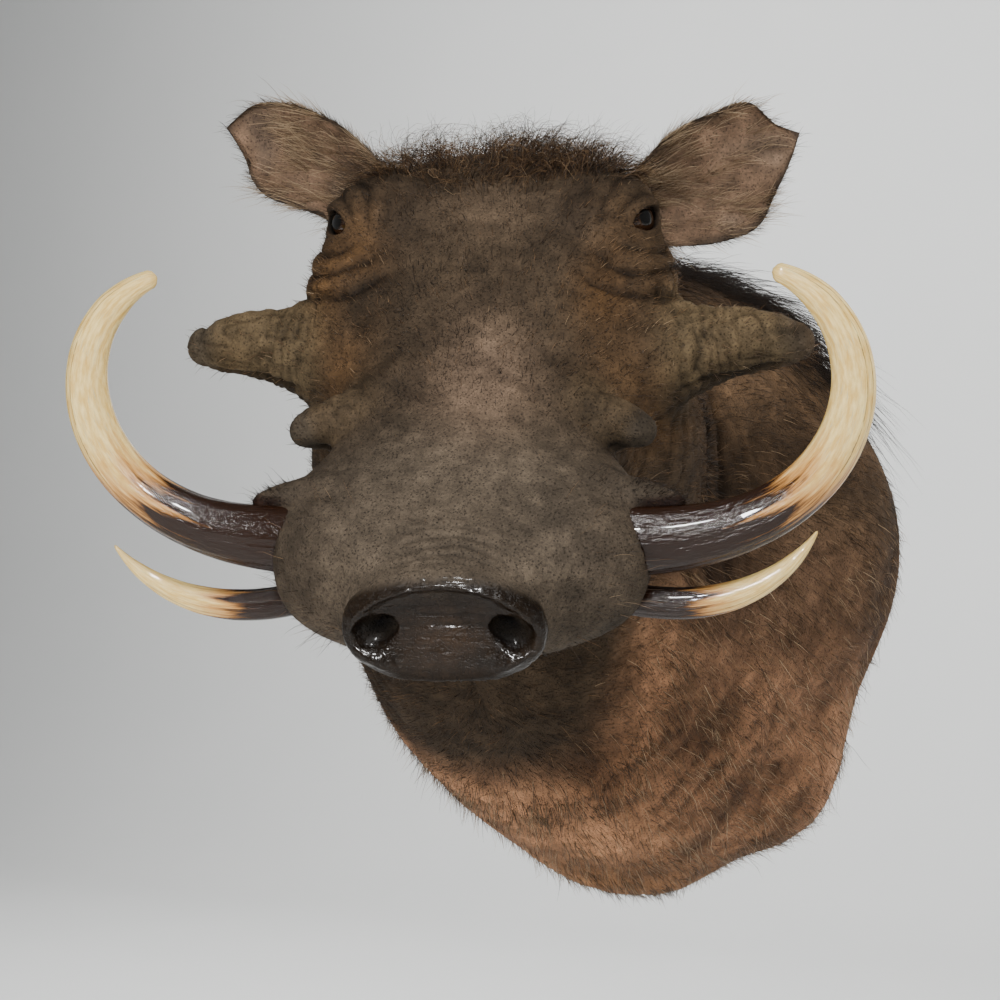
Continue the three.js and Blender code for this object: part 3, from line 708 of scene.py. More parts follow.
# %% Eyes
eyes = []
for side, word in SIDES:
    rows, columns = 48, 64
    polar = np.linspace(0.03, np.pi - 0.03, rows)[:, None]
    around = (np.arange(columns) / columns * 2 * np.pi)[None, :]
    gaze, along, upward = (v * (side, 1, 1) for v in (GAZE, LID_ALONG, LID_UP))
    radius = EYE_RADIUS * (1 + 0.05 * bump(polar, 0.62, 0.3))
    shell = ((radius * np.cos(polar) * np.ones_like(around))[..., None] * gaze
             + (radius * np.sin(polar) * np.cos(around))[..., None] * along
             + (radius * np.sin(polar) * np.sin(around))[..., None] * upward)
    points = np.concatenate([shell.reshape(-1, 3), [gaze * EYE_RADIUS * 1.05, -gaze * EYE_RADIUS]])
    faces = outward(points, tube_faces(rows, columns))
    angle = np.append(np.repeat(polar.ravel(), columns), [0, np.pi])
    ball = put_mesh(f"eyeball_{word}", to_mount(points + mirrored(EYE, side)), faces, angle=angle)
    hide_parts(f"glass_eye_{word}")
    eyes.append(ball)

# %% [markdown]
# ## Ears
# Each ear is a leaf between an upper and a lower edge, cupped to the front and thinning to its rim. The two
# edges are curves of a few points in the ear's own plane. The surface runs from one edge to the other over
# the back and returns over the front, so it is closed and has a real thickness.

# %% Ears
EARS = {
    "right": ([-78, 352, 129], [-188, 374, 169], [-0.2, -0.85, 0.3],
              [(-22, -20), (7, -24), (27, -32), (45, -37), (64, -38), (81, -36),
               (96, -31), (105, -24), (111, -15), (118, -4)],
              [(-22, 22), (4, 25), (19, 26), (36, 25), (52, 26), (68, 27), (80, 25),
               (89, 18), (96, 10), (106, 2), (118, -4)]),
    "left": ([78, 352, 114], [194, 374, 167], [0.2, -0.85, 0.3],
             [(-20, 17), (15, 20), (33, 26), (54, 33), (72, 34), (88, 32),
              (101, 31), (111, 26), (118, 8), (130, -6)],
             [(-20, -22), (6, -26), (21, -32), (37, -39), (54, -45), (71, -48), (83, -46),
              (92, -39), (103, -30), (117, -19), (130, -6)]),
}


def along_edge(edge, share):
    """Smooth curve through an edge's points, by share of its length."""
    edge = np.array(edge, float)
    run = np.append(0, np.cumsum(np.linalg.norm(np.diff(edge, axis=0), axis=1)))
    return smooth_rows(np.column_stack([run / run[-1], edge]), share)[:, 1:]


def ear(word, base, tip, facing, upper, lower):
    """Point = base + along * a + across * b + facing * depth. (a, b) runs from the lower to the upper edge
    as q goes from -1 to 1, depth = cup * (q * q - 0.5) plus or minus half the thickness, with ridges."""
    base, tip, facing = (np.array(v, float) for v in (base, tip, facing))
    ahead = (tip - base) / np.linalg.norm(tip - base)
    facing = facing - ahead * (facing @ ahead)
    facing /= np.linalg.norm(facing)
    across = np.cross(facing, ahead)
    rows, columns = 90, 96
    share = np.linspace(0, 1, rows)
    top, bottom = along_edge(upper, share), along_edge(lower, share)
    turn = np.arange(columns) / columns * 2 * np.pi
    q = np.cos(turn)[None, :]
    flat = (0.5 * (1 - q))[..., None] * bottom[:, None] + (0.5 * (1 + q))[..., None] * top[:, None]
    width = np.linalg.norm(top - bottom, axis=1)[:, None]
    cup = np.interp(share, [0, 0.2, 0.45, 0.7, 0.88, 1], [20, 24, 20, 12, 5, 0])[:, None]
    thick = np.interp(share, [0, 0.3, 0.7, 1], [9, 6.5, 4.5, 2.0])[:, None]
    rim = 2.6 * bell(np.abs(q), 0.97, 0.12) * bump(width, 4, 20)
    front = np.sin(turn)[None, :]
    ridges = 1.6 * fold(q * 2.4 + 0.25 * np.sin(5 * share)[:, None]) * (front > 0)
    ridges = ridges * bump(share, 0.75, 0.3)[:, None]
    depth = cup * (np.abs(q) ** 2.2 - 0.5) + 0.5 * thick * front + rim + ridges * (1 - np.abs(q))
    shell = (base + flat[..., :1] * ahead + flat[..., 1:] * across + depth[..., None] * facing)
    centre = shell[[0, -1]].mean(axis=1)
    points = np.concatenate([shell.reshape(-1, 3), centre])
    faces = tube_faces(rows, columns)
    lumps = 0.7 * noise(points, 12, 31) + 0.3 * noise(points, 5, 32)
    points = points + normals_of(points, faces) * lumps[:, None]
    faces = outward(points - base, faces)
    inside = np.append((bump(front, -0.1, 0.25) * np.ones_like(share)[:, None]).ravel(), [0, 0])
    edge = np.append((bump(np.abs(q), 0.8, 0.98) * np.ones_like(share)[:, None]).ravel(), [1, 1])
    place = np.append(np.repeat(share, columns), [0, 1])
    tint = np.tile([0.060, 0.042, 0.028], (len(points), 1))
    tint = wash(tint, 0.9 * inside, [0.180, 0.112, 0.070])
    tint = wash(tint, 0.7 * inside * bump(noise(points, 26, 33), -0.1, 0.5), [0.095, 0.068, 0.048])
    tint = wash(tint, 0.85 * inside * bump(place, 0.34, 0.05), [0.040, 0.024, 0.015])
    tint = wash(tint, 0.85 * edge * bump(place, 0.1, 0.5), [0.034, 0.026, 0.019])
    tint = wash(tint, 0.9 * bump(place, 0.93, 1.0), [0.030, 0.024, 0.020])
    piece = put_mesh(f"ear_{word}", to_mount(points), faces, tint=speckled_and_crease_shaded(tint, points, noise(points, 8, 34)),
                     wet=np.zeros(len(points)))
    return piece, points, faces, inside, place, np.append((q * np.ones_like(share)[:, None]).ravel(), [0, 0])


ears = {word: ear(word, *shape) for word, shape in EARS.items()}

# %% [markdown]
# ## Hair
# A warthog is thinly haired: short bristle on the face, longer and sparser on the neck, and a mane. Hair
# curves and particles don't survive an export, so each hair is a thin three-sided spike of mesh. Roots are
# drawn at random from the skin's triangles, by area times a density, and all spikes are one array.

# %% Strands
RNG = np.random.default_rng(11)
STRAY = 0.22
SCARCE = 1.0
hairs = []


def unit(v):
    """Vectors scaled to length 1."""
    return v / (np.linalg.norm(v, axis=-1, keepdims=True) + 1e-12)


def roots_on(points, faces, density, count):
    """Random places on a mesh: a face is drawn by area * density, then a point in it by two random shares.
    Returns the places and their normals."""
    tris = faces if faces.shape[1] == 3 else np.concatenate([faces[:, [0, 1, 2]], faces[:, [0, 2, 3]]])
    p = points[tris]
    cross = np.cross(p[:, 1] - p[:, 0], p[:, 2] - p[:, 0])
    weight = np.linalg.norm(cross, axis=1) * np.clip(density[tris].mean(axis=1), 0, None)
    pick = RNG.choice(len(tris), count, p=weight / weight.sum())
    a, b = RNG.random((2, count, 1))
    a, b = np.where(a + b > 1, 1 - a, a), np.where(a + b > 1, 1 - b, b)
    place = p[pick, 0] + a * (p[pick, 1] - p[pick, 0]) + b * (p[pick, 2] - p[pick, 0])
    return place, unit(cross[pick])


def strands(name, roots, normal, flow, length, width, lift, fall, segments, tone, wave=0.0, turns=0.7):
    """Hair = root + length * (t * start + t * t * fall) + a sway that grows with t, where start leaves the
    skin between the flow and the normal by lift. Three points round the path at each step taper to a tip.
    No hair passes the wall."""
    count = len(roots)
    tangent = unit(flow - normal * np.sum(flow * normal, axis=1, keepdims=True))
    tangent = unit(tangent + STRAY * RNG.normal(size=(count, 3)))
    start = unit(tangent + normal * lift[:, None])
    t = np.linspace(0, 1, segments + 1)[None, :, None]
    long = length[:, None, None]
    beside = unit(np.cross(start, normal))[:, None]
    phase = RNG.uniform(0, 2 * np.pi, (count, 1, 1))
    phase = phase + 2 * np.pi * turns * t * RNG.uniform(0.5, 1.5, (count, 1, 1))
    sway = wave * t * (beside * np.sin(phase) + normal[:, None] * 0.6 * np.cos(phase))
    path = (roots - 0.6 * normal)[:, None] + long * (t * start[:, None] + t * t * np.array(fall, float) + sway)
    path[..., 1] = np.minimum(path[..., 1], -0.6)
    ahead = unit(np.diff(path, axis=1))
    across = unit(np.cross(ahead, normal[:, None] + 0.013))
    lifted = np.cross(ahead, across)
    turn = np.arange(3) / 3 * 2 * np.pi
    ring = np.cos(turn)[:, None] * across[:, :, None] + np.sin(turn)[:, None] * lifted[:, :, None]
    taper = (1 - t[:, :-1] ** 1.6 * 0.75) * (width[:, None, None] / 2)
    body = path[:, :-1, None] + ring * taper[..., None]
    points = np.concatenate([body.reshape(count, -1, 3), path[:, -1:]], axis=1)
    stride, last = points.shape[1], (segments - 1) * 3
    k, j = np.arange(segments - 1)[:, None] * 3, np.arange(3)[None, :]
    a, b = (k + j).ravel(), (k + (j + 1) % 3).ravel()
    spike = np.concatenate([[[0, 2, 1]], np.stack([a, b, b + 3], 1), np.stack([a, b + 3, a + 3], 1),
                            [[last + i, last + (i + 1) % 3, stride - 1] for i in range(3)]]).astype(np.int64)
    faces = (np.arange(count)[:, None, None] * stride + spike[None]).reshape(-1, 3)
    share = np.append(np.repeat(np.linspace(0, 1, segments + 1)[:-1], 3), 1.0)
    piece = put_mesh(name, points.reshape(-1, 3), faces, tone=np.repeat(tone, stride),
                     along=np.tile(share, count))
    hairs.append(piece)


def grow(name, skin, density, count, flow, reach, width, lift, segments, tone, spread=0.2,
         fall=(0, 0, -0.15), **shape):
    """Draws roots on a skin of points and faces, and grows hairs from them. reach, width and lift are (least,
    most); tone is a number, or a function of the place, from 0 for black to 1 for straw, and each hair strays
    from it by spread."""
    count = int(count * SCARCE)
    place, normal = roots_on(*skin, density, count)
    shade = tone(place) if callable(tone) else tone
    strands(name, place, normal, flow(place), RNG.uniform(*reach, count), RNG.uniform(*width, count),
            RNG.uniform(*lift, count), fall, segments, np.clip(RNG.normal(shade, spread, count), 0, 1), **shape)


# %% [markdown]
# ### Bristle of the face
# On the muzzle it is a stubble of a few millimetres that lies back from the nose. Further up it lengthens
# and fans out to the sides. The flow is the direction back along the head plus a share of the way outwards.

# %% Face bristle
FACE, BODY = (face_mount, face_quads), (neck_points, neck_quads)
x, back, up = face_points.T
bare = 1 - bump(wet, 0.1, 0.5)
for side in (-1, 1):
    bare = bare * bump(np.linalg.norm(face_points - mirrored(EYE, side), axis=1), 18.5, 21.5)
bare = bare * (face_mount[:, 1] < SEAM + 2)
warts = np.maximum(wart_place(face_points, CHEEK_WART)[2], wart_place(face_points, NOSE_WART)[2])


def face_flow(places):
    """Back along the head, outwards by the distance from its middle, and a little upwards."""
    out = np.clip(to_head(places)[:, :1] / 90, -1, 1)
    swirl, small = noise(places, 38, 41)[:, None], noise(places, 9, 46)[:, None]
    return BACK + ACROSS * (0.8 * out + 0.5 * swirl + 0.3 * small) + AXES[2] * (0.25 - 0.2 * swirl)


def face_tone(places):
    """Dark, with rusty cheeks."""
    x, back, up = to_head(places).T
    rusty = bump(np.abs(x), 42, 80) * bell(back, 240, 55) * bump(up, -20, 40)
    return 0.24 + 0.22 * rusty + 0.16 * noise(places, 16, 47)


muzzle = bare * bump(back, 190, 140) * (1 - 0.5 * warts)
upper_face = bare * bump(back, 130, 180) * (1 - to_neck) * (1 - 0.7 * warts)
grow("bristle_muzzle", FACE, muzzle, 22000, face_flow, (2.0, 4.8), (0.26, 0.4), (0.2, 0.6), 1, 0.12, 0.18)
grow("bristle_face", FACE, upper_face, 18500, face_flow,
     (4.5, 12.0), (0.28, 0.46), (0.06, 0.36), 2, face_tone, 0.15)
lips = bare * bump(back, 120, 80) * bump(back, 12, 30) * bump(np.abs(x), 50, 85)
grow("whiskers", FACE, lips, 260, face_flow, (9, 22), (0.2, 0.3), (0.5, 1.4), 3, 0.3, 0.25, wave=0.06)
flaps = bare * bump(np.abs(x), 98, 110) * bell(back, 100, 16) * bump(up, 18, 28)
grow("lip_bristles", FACE, flaps, 420, face_flow, (5, 11), (0.26, 0.4), (0.2, 0.8), 2, 0.08, 0.1)

# %% [markdown]
# ### Hair of the neck and chest
# It runs back from the throat and down the chest, short and close. A thinner growth of long hairs, some dark
# and some pale, lies over it.

# %% Body hair


def body_flow(places):
    """Back to the wall and down, fanning outwards from the middle, with swirls that gather it in locks."""
    x, y, z = places.T
    swirl, lock = noise(places, 70, 42), noise(places, 15, 48)
    out = np.clip(x / 120, -1, 1)
    return np.column_stack([0.55 * out + 0.5 * swirl + 0.45 * lock, 0.75 + 0.2 * swirl,
                            -0.65 + 0.6 * bump(z, -40, 120) - 0.3 * swirl + 0.3 * lock])


def body_tone(places):
    """Dark on the bib and the top of the neck, rusty on the chest."""
    x, y, z = places.T
    bib = bell(x, 25, 55) * bell(y, -225, 75) * bell(z, -72, 42)
    return 0.52 - 0.4 * bib - 0.26 * bump(z, -10, 90) + 0.16 * noise(places, 24, 49)


grown = bump(neck_points[:, 1], -2, -6) * (neck_normals[:, 1] < 0.8)
grown = grown * (0.5 + 0.5 * bump(noise(neck_points, 30, 50), -0.5, 0.4))
lefts, rights = bump(neck_points[:, 0], -30, 10), bump(neck_points[:, 0], 30, -10)
close = dict(reach=(8, 20), width=(0.3, 0.48), lift=(0.02, 0.22), segments=2, tone=body_tone, spread=0.2)
grow("hair_throat", FACE, bare * to_neck, 7000, body_flow, **close)
grow("hair_neck_left", BODY, grown * lefts, 17000, body_flow, **close)
grow("hair_neck_right", BODY, grown * rights, 12000, body_flow, **close)
above_hem = grown * bump(neck_points[:, 2], -212, -186)
grow("hair_long_dark", BODY, above_hem, 900, body_flow,
     (18, 36), (0.26, 0.38), (0.05, 0.3), 3, 0.12, 0.1, wave=0.05)
brisket = above_hem * bump(neck_points[:, 2], -20, -110)
grow("hair_long_pale", BODY, brisket, 800, body_flow,
     (14, 30), (0.22, 0.34), (0.03, 0.2), 3, 0.8, 0.14, wave=0.08)

# %% [markdown]
# ### Crown and mane
# Between the ears stands a fringe of dark, tangled bristles. Behind it the mane runs down the top of the
# neck and falls over the animal's left side, longest near the wall.

# %% Crown and mane


def crown_flow(places):
    """Up from the skull, outwards from its middle, and every way by noise."""
    out = to_head(places)[:, :1] / 70
    swirl, small = noise(places, 14, 43)[:, None], noise(places, 12, 51)[:, None]
    return AXES[2] * 0.5 + BACK * (0.5 + 1.2 * small) + ACROSS * (out + 1.2 * swirl)


crown = bare * bump(back, 306, 344) * bump(back, 408, 390) * bump(up, 108, 130) * bump(np.abs(x), 90, 72)
crown = crown * (0.2 + 0.8 * bump(noise(face_mount, 24, 53), -0.35, 0.3))
grow("crown_bristles", FACE, crown, 2600, crown_flow, (18, 46), (0.3, 0.46), (0.5, 2.2), 7, 0.36, 0.18,
     fall=(0, -0.12, -0.45), wave=0.3, turns=0.9)
grow("crown_strays", FACE, crown, 90, crown_flow, (34, 50), (0.22, 0.3), (1.2, 3.0), 7, 0.06, 0.06,
     fall=(0, 0, -0.2), wave=0.1)


def mane_flow(places):
    """Sideways to the animal's left and back towards the wall."""
    return np.array([1.0, 0.45, -0.1]) + 0.4 * noise(places, 18, 44)[:, None]


ridge = np.interp(neck_points[:, 1], NECK[:, 0], NECK[:, 7])
nape = grown * bump(neck_points[:, 2], 190, 215) * bell(neck_points[:, 0] - ridge, 4, 26)
side_fall = grown * bump(neck_points[:, 2], 120, 190) * bell(neck_points[:, 0], 75, 50)
side_fall = side_fall * bump(neck_points[:, 1], -130, -50)
mane = dict(width=(0.34, 0.52), lift=(0.15, 0.55), segments=6, tone=0.08, spread=0.08, wave=0.07)
grow("mane_nape", BODY, nape, 2300, mane_flow, (26, 62), fall=(0.15, 0, -0.4), **mane)
grow("mane_fringe", BODY, side_fall, 900, mane_flow, (30, 80), fall=(0.12, 0, -0.5), **mane)

# %% [markdown]
# ### Hair of the ears and lashes
# Pale hairs lie in streaks across the cup of each ear, dark ones fringe its rim and back, and each upper lid
# has a row of lashes.

# %% Ear hair and lashes
for side, word in SIDES:
    points, faces, inside, share, q = ears[word][1:]
    base, tip = (to_mount(np.array(v, float)) for v in EARS[word][:2])
    leaf = to_mount(points), faces

    def ear_flow(roots):
        """Along the ear, fanning from its root."""
        return unit(roots - base) + 0.7 * unit(tip - base) + 0.2 * noise(roots, 14, 45)[:, None]

    streaks = inside * bump(share, 0.85, 0.5) * bump(noise(points * (1, 1, 2.5), 14, 52), -0.1, 0.5)
    grow(f"ear_hair_{word}", leaf, streaks, 1400, ear_flow,
         (12, 32), (0.26, 0.38), (0.02, 0.2), 3, 0.82, 0.15, wave=0.05)
    rim = (1 - inside) * bump(np.abs(q), 0.75, 0.97) * bump(share, 0.02, 0.15)
    grow(f"ear_fringe_{word}", leaf, rim, 700, ear_flow,
         (5, 14), (0.22, 0.32), (0.2, 0.8), 3, 0.14, 0.12, wave=0.06)
    grow(f"ear_back_{word}", leaf, 1 - inside, 1500, ear_flow,
         (5, 11), (0.24, 0.34), (0.05, 0.3), 2, 0.2, 0.15)
    slit = np.linspace(-11, 12, int(70 * SCARCE))[:, None]
    upward, along, gaze = (v * (side, 1, 1) for v in (LID_UP, LID_ALONG, GAZE))
    lash = mirrored(EYE, side) + along * slit + upward * (8.2 - 0.05 * slit ** 2)
    lash = lash + gaze * (13.2 - 0.045 * slit ** 2)
    count = len(lash)
    normal, flow = (np.tile(v @ AXES, (count, 1)) for v in (upward, gaze - 0.3 * upward))
    strands(f"lashes_{word}", to_mount(lash), normal, flow, RNG.uniform(6, 11, count), np.full(count, 0.28),
            RNG.uniform(0.1, 0.5, count), (0, 0, -0.2), 3, np.full(count, 0.04))

# %% [markdown]
# ## Materials
# Shader maths reads best as Python. A small class wraps one output of a node: arithmetic on it adds Math
# nodes, and one method adds any other node. Colours go through Mix nodes.

# %% A socket with arithmetic


class Shade:
    """One output of a node in a material's tree."""

    def __init__(self, tree, socket=None):
        self.tree, self.socket = tree, socket

    def node(self, kind, settings=None, inputs=None, out=0):
        """Adds a node of a kind, sets its settings, then its sockets by name or number, and returns an output."""
        made = self.tree.nodes.new("ShaderNode" + kind)
        for key, value in (settings or {}).items():
            if key == "stops":
                ramp = made.color_ramp.elements
                while len(ramp) < len(value):
                    ramp.new(0.5)
                for element, (place, shade) in zip(ramp, value):
                    element.position, element.color = place, (*shade, 1)
            else:
                setattr(made, key, value)
        for key, value in (inputs or {}).items():
            if isinstance(value, Shade):
                self.tree.links.new(value.socket, made.inputs[key])
            else:
                made.inputs[key].default_value = value
        return Shade(self.tree, made.outputs[out])

    def maths(self, operation, *values):
        return self.node("Math", {"operation": operation}, dict(enumerate(values)))

    def __add__(self, other): return self.maths("ADD", self, other)
    def __radd__(self, other): return self.maths("ADD", other, self)
    def __sub__(self, other): return self.maths("SUBTRACT", self, other)
    def __rsub__(self, other): return self.maths("SUBTRACT", other, self)
    def __mul__(self, other): return self.maths("MULTIPLY", self, other)
    def __abs__(self): return self.maths("ABSOLUTE", self)

    def attribute(self, name, out="Fac"):
        """A value that the mesh carries at its points."""
        return self.node("Attribute", {"attribute_name": name}, out=out)

    def noise(self, scale, detail, rough=0.5, bend=0.0):
        """Noise at this place."""
        return self.node("TexNoise", None, {"Vector": self, "Scale": scale, "Detail": detail,
                                            "Roughness": rough, "Distortion": bend}, "Fac")

    def step(self, low, high):
        """Smooth step of this value."""
        limits = {"Value": self, "From Min": low, "From Max": high}
        return self.node("MapRange", {"interpolation_type": "SMOOTHSTEP"}, limits)

    def mix(self, first, second):
        """Mix of two colours, with this value as the factor."""
        return self.node("Mix", {"data_type": "RGBA"}, {0: self, 6: first, 7: second}, 2)

    def dim(self, amount):
        """A colour times a number."""
        return self.node("VectorMath", {"operation": "SCALE"}, {0: self, "Scale": amount})


def finish(name):
    """A new material: its tree to add to, and its main shader."""
    material = bpy.data.materials.new(name)
    material.use_nodes = True
    return material, Shade(material.node_tree), material.node_tree.nodes["Principled BSDF"]


def plug(tree, shader, **values):
    """Links or sets the main shader's sockets; an underscore in a name stands for a space."""
    for key, value in values.items():
        socket = shader.inputs[key.replace("_", " ")]
        if isinstance(value, Shade):
            tree.tree.links.new(value.socket, socket)
        else:
            socket.default_value = value


def dress(material, *pieces):
    """Gives pieces one material in place of what they have."""
    for piece in pieces:
        piece.data.materials.clear()
        piece.data.materials.append(material)


# %% [markdown]
# ### Hide
# The washes give the broad colour. Noise at the scale of pores breaks it up, the pits of hairs darken it,
# fine creases are darkened as painted shade, and all raise a fine bump. Where the skin is wet the shader
# turns glossy, with a clear coat and fine level lines.

# %% Hide
hide, tree, shader = finish("hide_skin")
where = tree.node("TexCoord", out="Object")
tint_in = tree.attribute("tint", "Color")
wet_in = tree.attribute("wet")
pores = where.noise(620.0, 3.0, 0.6)
patches = where.noise(75.0, 5.0, 0.65)
web = where.noise(150.0, 2.0, bend=0.4)
crease = abs(web - 0.5).step(0.0, 0.04)
follicle = tree.node("TexVoronoi", None, {"Vector": where, "Scale": 470.0}, "Distance").step(0.38, 0.14)
# The crease factor darkens the fine creases as painted shade.
shade = (0.3 + pores * 1.05) * (0.2 + patches * 1.55) * (0.86 + crease * 0.14)
shade = shade * (1 - follicle * (1 - wet_in) * 0.55)
level = {"Vector": where, "Rotation": (0.0, 0.0, float(TURN)), "Scale": (5.0, 1.0, 1.0)}
level = tree.node("Mapping", {"vector_type": "TEXTURE"}, level)
wet_lines = level.noise(330.0, 2.0)
relief = pores * 0.6 + crease * 0.25 + patches * 0.6 - follicle * 0.35 + wet_lines * wet_in * 2.4
rough = (0.66 + pores * 0.28) * (1 - wet_in * 0.6)
raised = tree.node("Bump", None, {"Strength": 0.6, "Distance": 0.0012, "Height": relief}, "Normal")
plug(tree, shader, Base_Color=tint_in.dim(shade), Roughness=rough, Coat_Weight=wet_in * 0.28, Normal=raised,
     Specular_IOR_Level=0.1, Coat_Roughness=0.14)
dress(hide, *skins, *(e[0] for e in ears.values()))

# %% [markdown]
# ### Hair
# Each hair carries a tone, from black-brown to straw, and is darker at its root.

# %% Hair
hair, tree, shader = finish("bristle")
tone_in = tree.attribute("tone")
along_in = tree.attribute("along")
stops = [(0.0, (0.006, 0.004, 0.003)), (0.3, (0.032, 0.019, 0.011)),
         (0.62, (0.14, 0.078, 0.036)), (1.0, (0.42, 0.31, 0.19))]
strand = tree.node("ValToRGB", {"stops": stops}, {"Fac": tone_in}, "Color")
plug(tree, shader, Base_Color=strand.dim(0.7 + along_in * 0.5), Roughness=0.45 + along_in * 0.1,
     Specular_IOR_Level=0.2)
dress(hair, *hairs)

# %% [markdown]
# ### Ivory
# Black-brown tartar covers the root and runs up in tongues along the grooves, with a rusty edge. Beyond it
# the ivory is cream with faint bands, and one or two fine cracks follow its length.

# %% Ivory
ivory, tree, shader = finish("polished_ivory")
along_in = tree.attribute("along")
grain_in = tree.attribute("grain", "Vector")
stretched = tree.node("VectorMath", {"operation": "MULTIPLY"}, {0: grain_in, 1: (1.0, 1.0, 0.28)})
streaks = stretched.noise(3.4, 5.0, 0.62)
fine = stretched.noise(16.0, 4.0, 0.6)
mottle = grain_in.noise(5.0, 4.0, 0.6)
reach = along_in + (streaks - 0.5) * 0.62 + (fine - 0.5) * 0.12
cream = mottle.step(0.3, 0.75).mix((0.58, 0.36, 0.095, 1), (0.80, 0.62, 0.26, 1))
grey = fine.step(0.58, 0.72).mix(cream, (0.50, 0.42, 0.26, 1))
rusty = reach.step(0.58, 0.36).mix(grey, (0.42, 0.19, 0.05, 1))
stained = reach.step(0.43, 0.31).mix(rusty, (0.014, 0.005, 0.0018, 1))
wander = (mottle - 0.5) * 0.22


def crack(way):
    """A dark line along the tusk, where the direction round it is square to a way."""
    off = tree.node("VectorMath", {"operation": "DOT_PRODUCT"}, {0: grain_in, 1: way}, "Value") + wander
    return abs(off).step(0.04, 0.01)


crack_line = tree.maths("MAXIMUM", crack((0.62, 0.78, 0.0)), crack((0.87, 0.5, 0.0)))
crack_line = crack_line * along_in.step(0.34, 0.5) * fine.step(0.38, 0.5) * 0.8
final = crack_line.mix(stained, (0.10, 0.06, 0.025, 1))
lumps = grain_in.noise(9.0, 3.0)
relief = fine * 0.5 + streaks * 0.4 + lumps * (0.35 + along_in.step(0.5, 0.2) * 1.5)
raised = tree.node("Bump", None, {"Strength": 0.5, "Distance": 0.0012, "Height": relief}, "Normal")
plug(tree, shader, Base_Color=final, Roughness=0.14 + fine * 0.12, Normal=raised, Coat_Weight=0.3,
     Coat_Roughness=0.04, Specular_IOR_Level=0.22, Subsurface_Weight=0.08, Subsurface_Radius=(0.004, 0.003, 0.002))
dress(ivory, *tusks)

# %% [markdown]
# ### Eyes
# Pupil, iris and a reddish-brown rim follow the angle from the direction of gaze.

# %% Eyes' glass
glass, tree, shader = finish("eye_glass")
angle_in = tree.attribute("angle")
where = tree.node("TexCoord", out="Object")
fibres = where.noise(900.0, 3.0)
iris = (angle_in + (fibres - 0.5) * 0.1).step(0.34, 0.42).mix((0.002, 0.0015, 0.001, 1), (0.028, 0.012, 0.005, 1))
rim = angle_in.step(0.72, 0.98).mix(iris, (0.045, 0.014, 0.008, 1))
plug(tree, shader, Base_Color=rim, Roughness=0.05 + fibres * 0.03, Coat_Weight=0.5, Coat_Roughness=0.02,
     Specular_IOR_Level=0.35)
dress(glass, *eyes)

# %% [markdown]
# ### Board and hanger
# The back is plain plywood with a long grain. The keyhole plate is plated sheet steel with faint brushing.

# %% Plywood and steel
plywood, tree, shader = finish("plywood")
where = tree.node("TexCoord", out="Object")
long_grain = tree.node("Mapping", None, {"Vector": where, "Scale": (60.0, 60.0, 5.0)})
figure = long_grain.noise(1.0, 6.0, 0.6, bend=0.6)
fleck = long_grain.noise(9.0, 2.0)
wood = figure.step(0.35, 0.65).mix((0.42, 0.27, 0.13, 1), (0.60, 0.43, 0.24, 1))
raised = tree.node("Bump", None, {"Strength": 0.25, "Distance": 0.0006, "Height": figure + fleck * 0.4}, "Normal")
wood = fleck.step(0.62, 0.72).mix(wood, (0.30, 0.18, 0.08, 1))
plug(tree, shader, Base_Color=wood, Roughness=0.6 + fleck * 0.25, Normal=raised)
dress(plywood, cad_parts["backboard"])

steel, tree, shader = finish("plated_steel")
where = tree.node("TexCoord", out="Object")
brushed = tree.node("Mapping", None, {"Vector": where, "Scale": (1400.0, 60.0, 60.0)})
lines = brushed.noise(1.0, 3.0)
plated = lines.mix((0.50, 0.51, 0.52, 1), (0.66, 0.67, 0.68, 1))
plug(tree, shader, Base_Color=plated, Metallic=1.0, Roughness=0.28 + lines * 0.2)
dress(steel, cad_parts["hanger"])

# %% [markdown]
# ## Stage, light and camera
# A pale sheet sweeps from the floor up behind the mount, far enough away to walk round it. Large soft lights
# stand in front and one behind, and two light the paper. Two small ones show only as reflections, which give
# the wet nose, the eyes and the tusks their sparkle. The camera stands where the picture was taken from:
# level with the muzzle, thirty degrees to the animal's left.

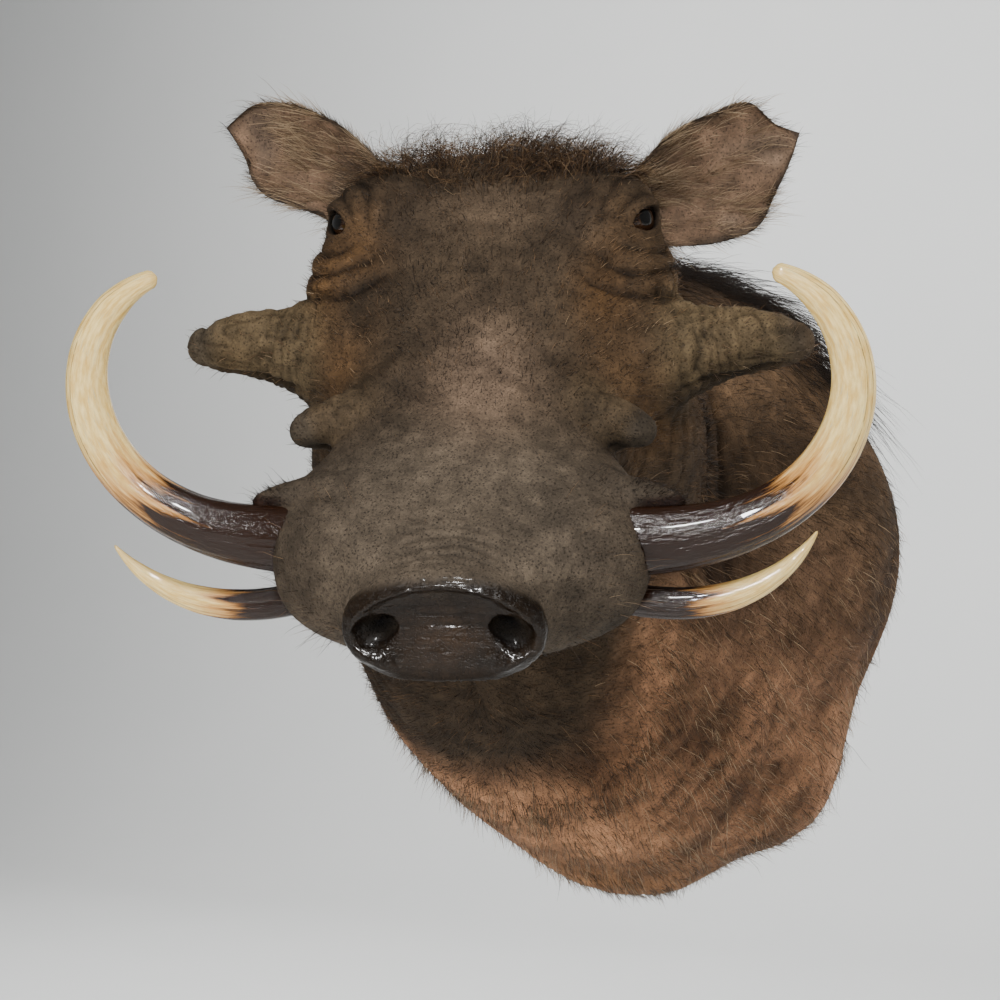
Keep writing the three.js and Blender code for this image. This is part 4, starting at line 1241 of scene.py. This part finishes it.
# %% Stage
across = np.linspace(-6000, 6000, 25)
bend = np.linspace(0, np.pi / 2, 16)
curve = np.column_stack([3200 + 1200 * np.sin(bend), 300 - 1200 * np.cos(bend)])
profile = np.concatenate([[[-7000, -900]], curve, [[4400, 5000]]])
sheet = np.stack(np.broadcast_arrays(across[:, None], profile[None, :, 0], profile[None, :, 1]), -1)
rows, columns = sheet.shape[:2]
a = (np.arange(rows - 1)[:, None] * columns + np.arange(columns - 1)[None, :]).ravel()
floor = put_mesh("pale_sweep", sheet.reshape(-1, 3), np.stack([a, a + columns, a + columns + 1, a + 1], 1))
floor.parent = None
pale, tree, shader = finish("pale_paper")
where = tree.node("TexCoord", out="Object")
paper = where.noise(3.0, 4.0)
plug(tree, shader, Base_Color=paper.mix((0.66, 0.67, 0.66, 1), (0.70, 0.70, 0.69, 1)), Roughness=0.9)
dress(pale, floor)

# %% Light and camera


def softbox(name, place, aim, size, watts, shines=False):
    """A square area light that faces a point. One that shines is only mirrored in glossy surfaces; the others
    only light."""
    lamp = bpy.data.lights.new(name, "AREA")
    lamp.size, lamp.energy = size, watts
    light = bpy.data.objects.new(name, lamp)
    place, aim = (np.array(v, float) for v in (place, aim))
    way = unit((aim - place)[None])[0]
    light.location = place
    light.visible_glossy, light.visible_diffuse = shines, not shines
    light.rotation_euler = (np.arccos(-way[2]), 0, np.arctan2(way[0], -way[1]) + np.pi)
    bpy.context.scene.collection.objects.link(light)


softbox("key", (1.1, -1.6, 1.5), (0, -0.3, 0.05), 0.9, 62)
softbox("fill", (-0.7, -2.1, -0.5), (0, -0.3, -0.05), 1.4, 52)
softbox("low", (1.5, -1.5, -0.5), (0, -0.2, -0.05), 1.0, 13)
softbox("sparkle", (0.6, -1.7, 1.0), (0.1, -0.5, 0.05), 0.16, 40, True)
softbox("glint", (0.6, -1.9, 0.25), (0.0, -0.4, 0.1), 0.14, 24, True)
softbox("behind", (0.9, 1.7, 1.3), (0, -0.2, 0.05), 1.2, 22)
softbox("paper_left", (-2.4, 1.4, 1.6), (0.2, 4.0, 0.0), 1.5, 130)
softbox("paper_right", (2.4, 1.4, 1.6), (-0.2, 4.0, 0.0), 1.5, 130)
world = bpy.data.worlds.new("studio")
world.use_nodes = True
world.node_tree.nodes["Background"].inputs["Color"].default_value = (0.86, 0.88, 0.90, 1)
world.node_tree.nodes["Background"].inputs["Strength"].default_value = 0.22
bpy.context.scene.world = world

lens = bpy.data.cameras.new("camera")
lens.sensor_width, lens.lens = 36.0, 90.0
camera = bpy.data.objects.new("camera", lens)
camera.location = (0.8316, -1.7484, 0.07)
camera.rotation_euler = (np.pi / 2, 0, np.radians(30))
bpy.context.scene.collection.objects.link(camera)
bpy.context.scene.camera = camera
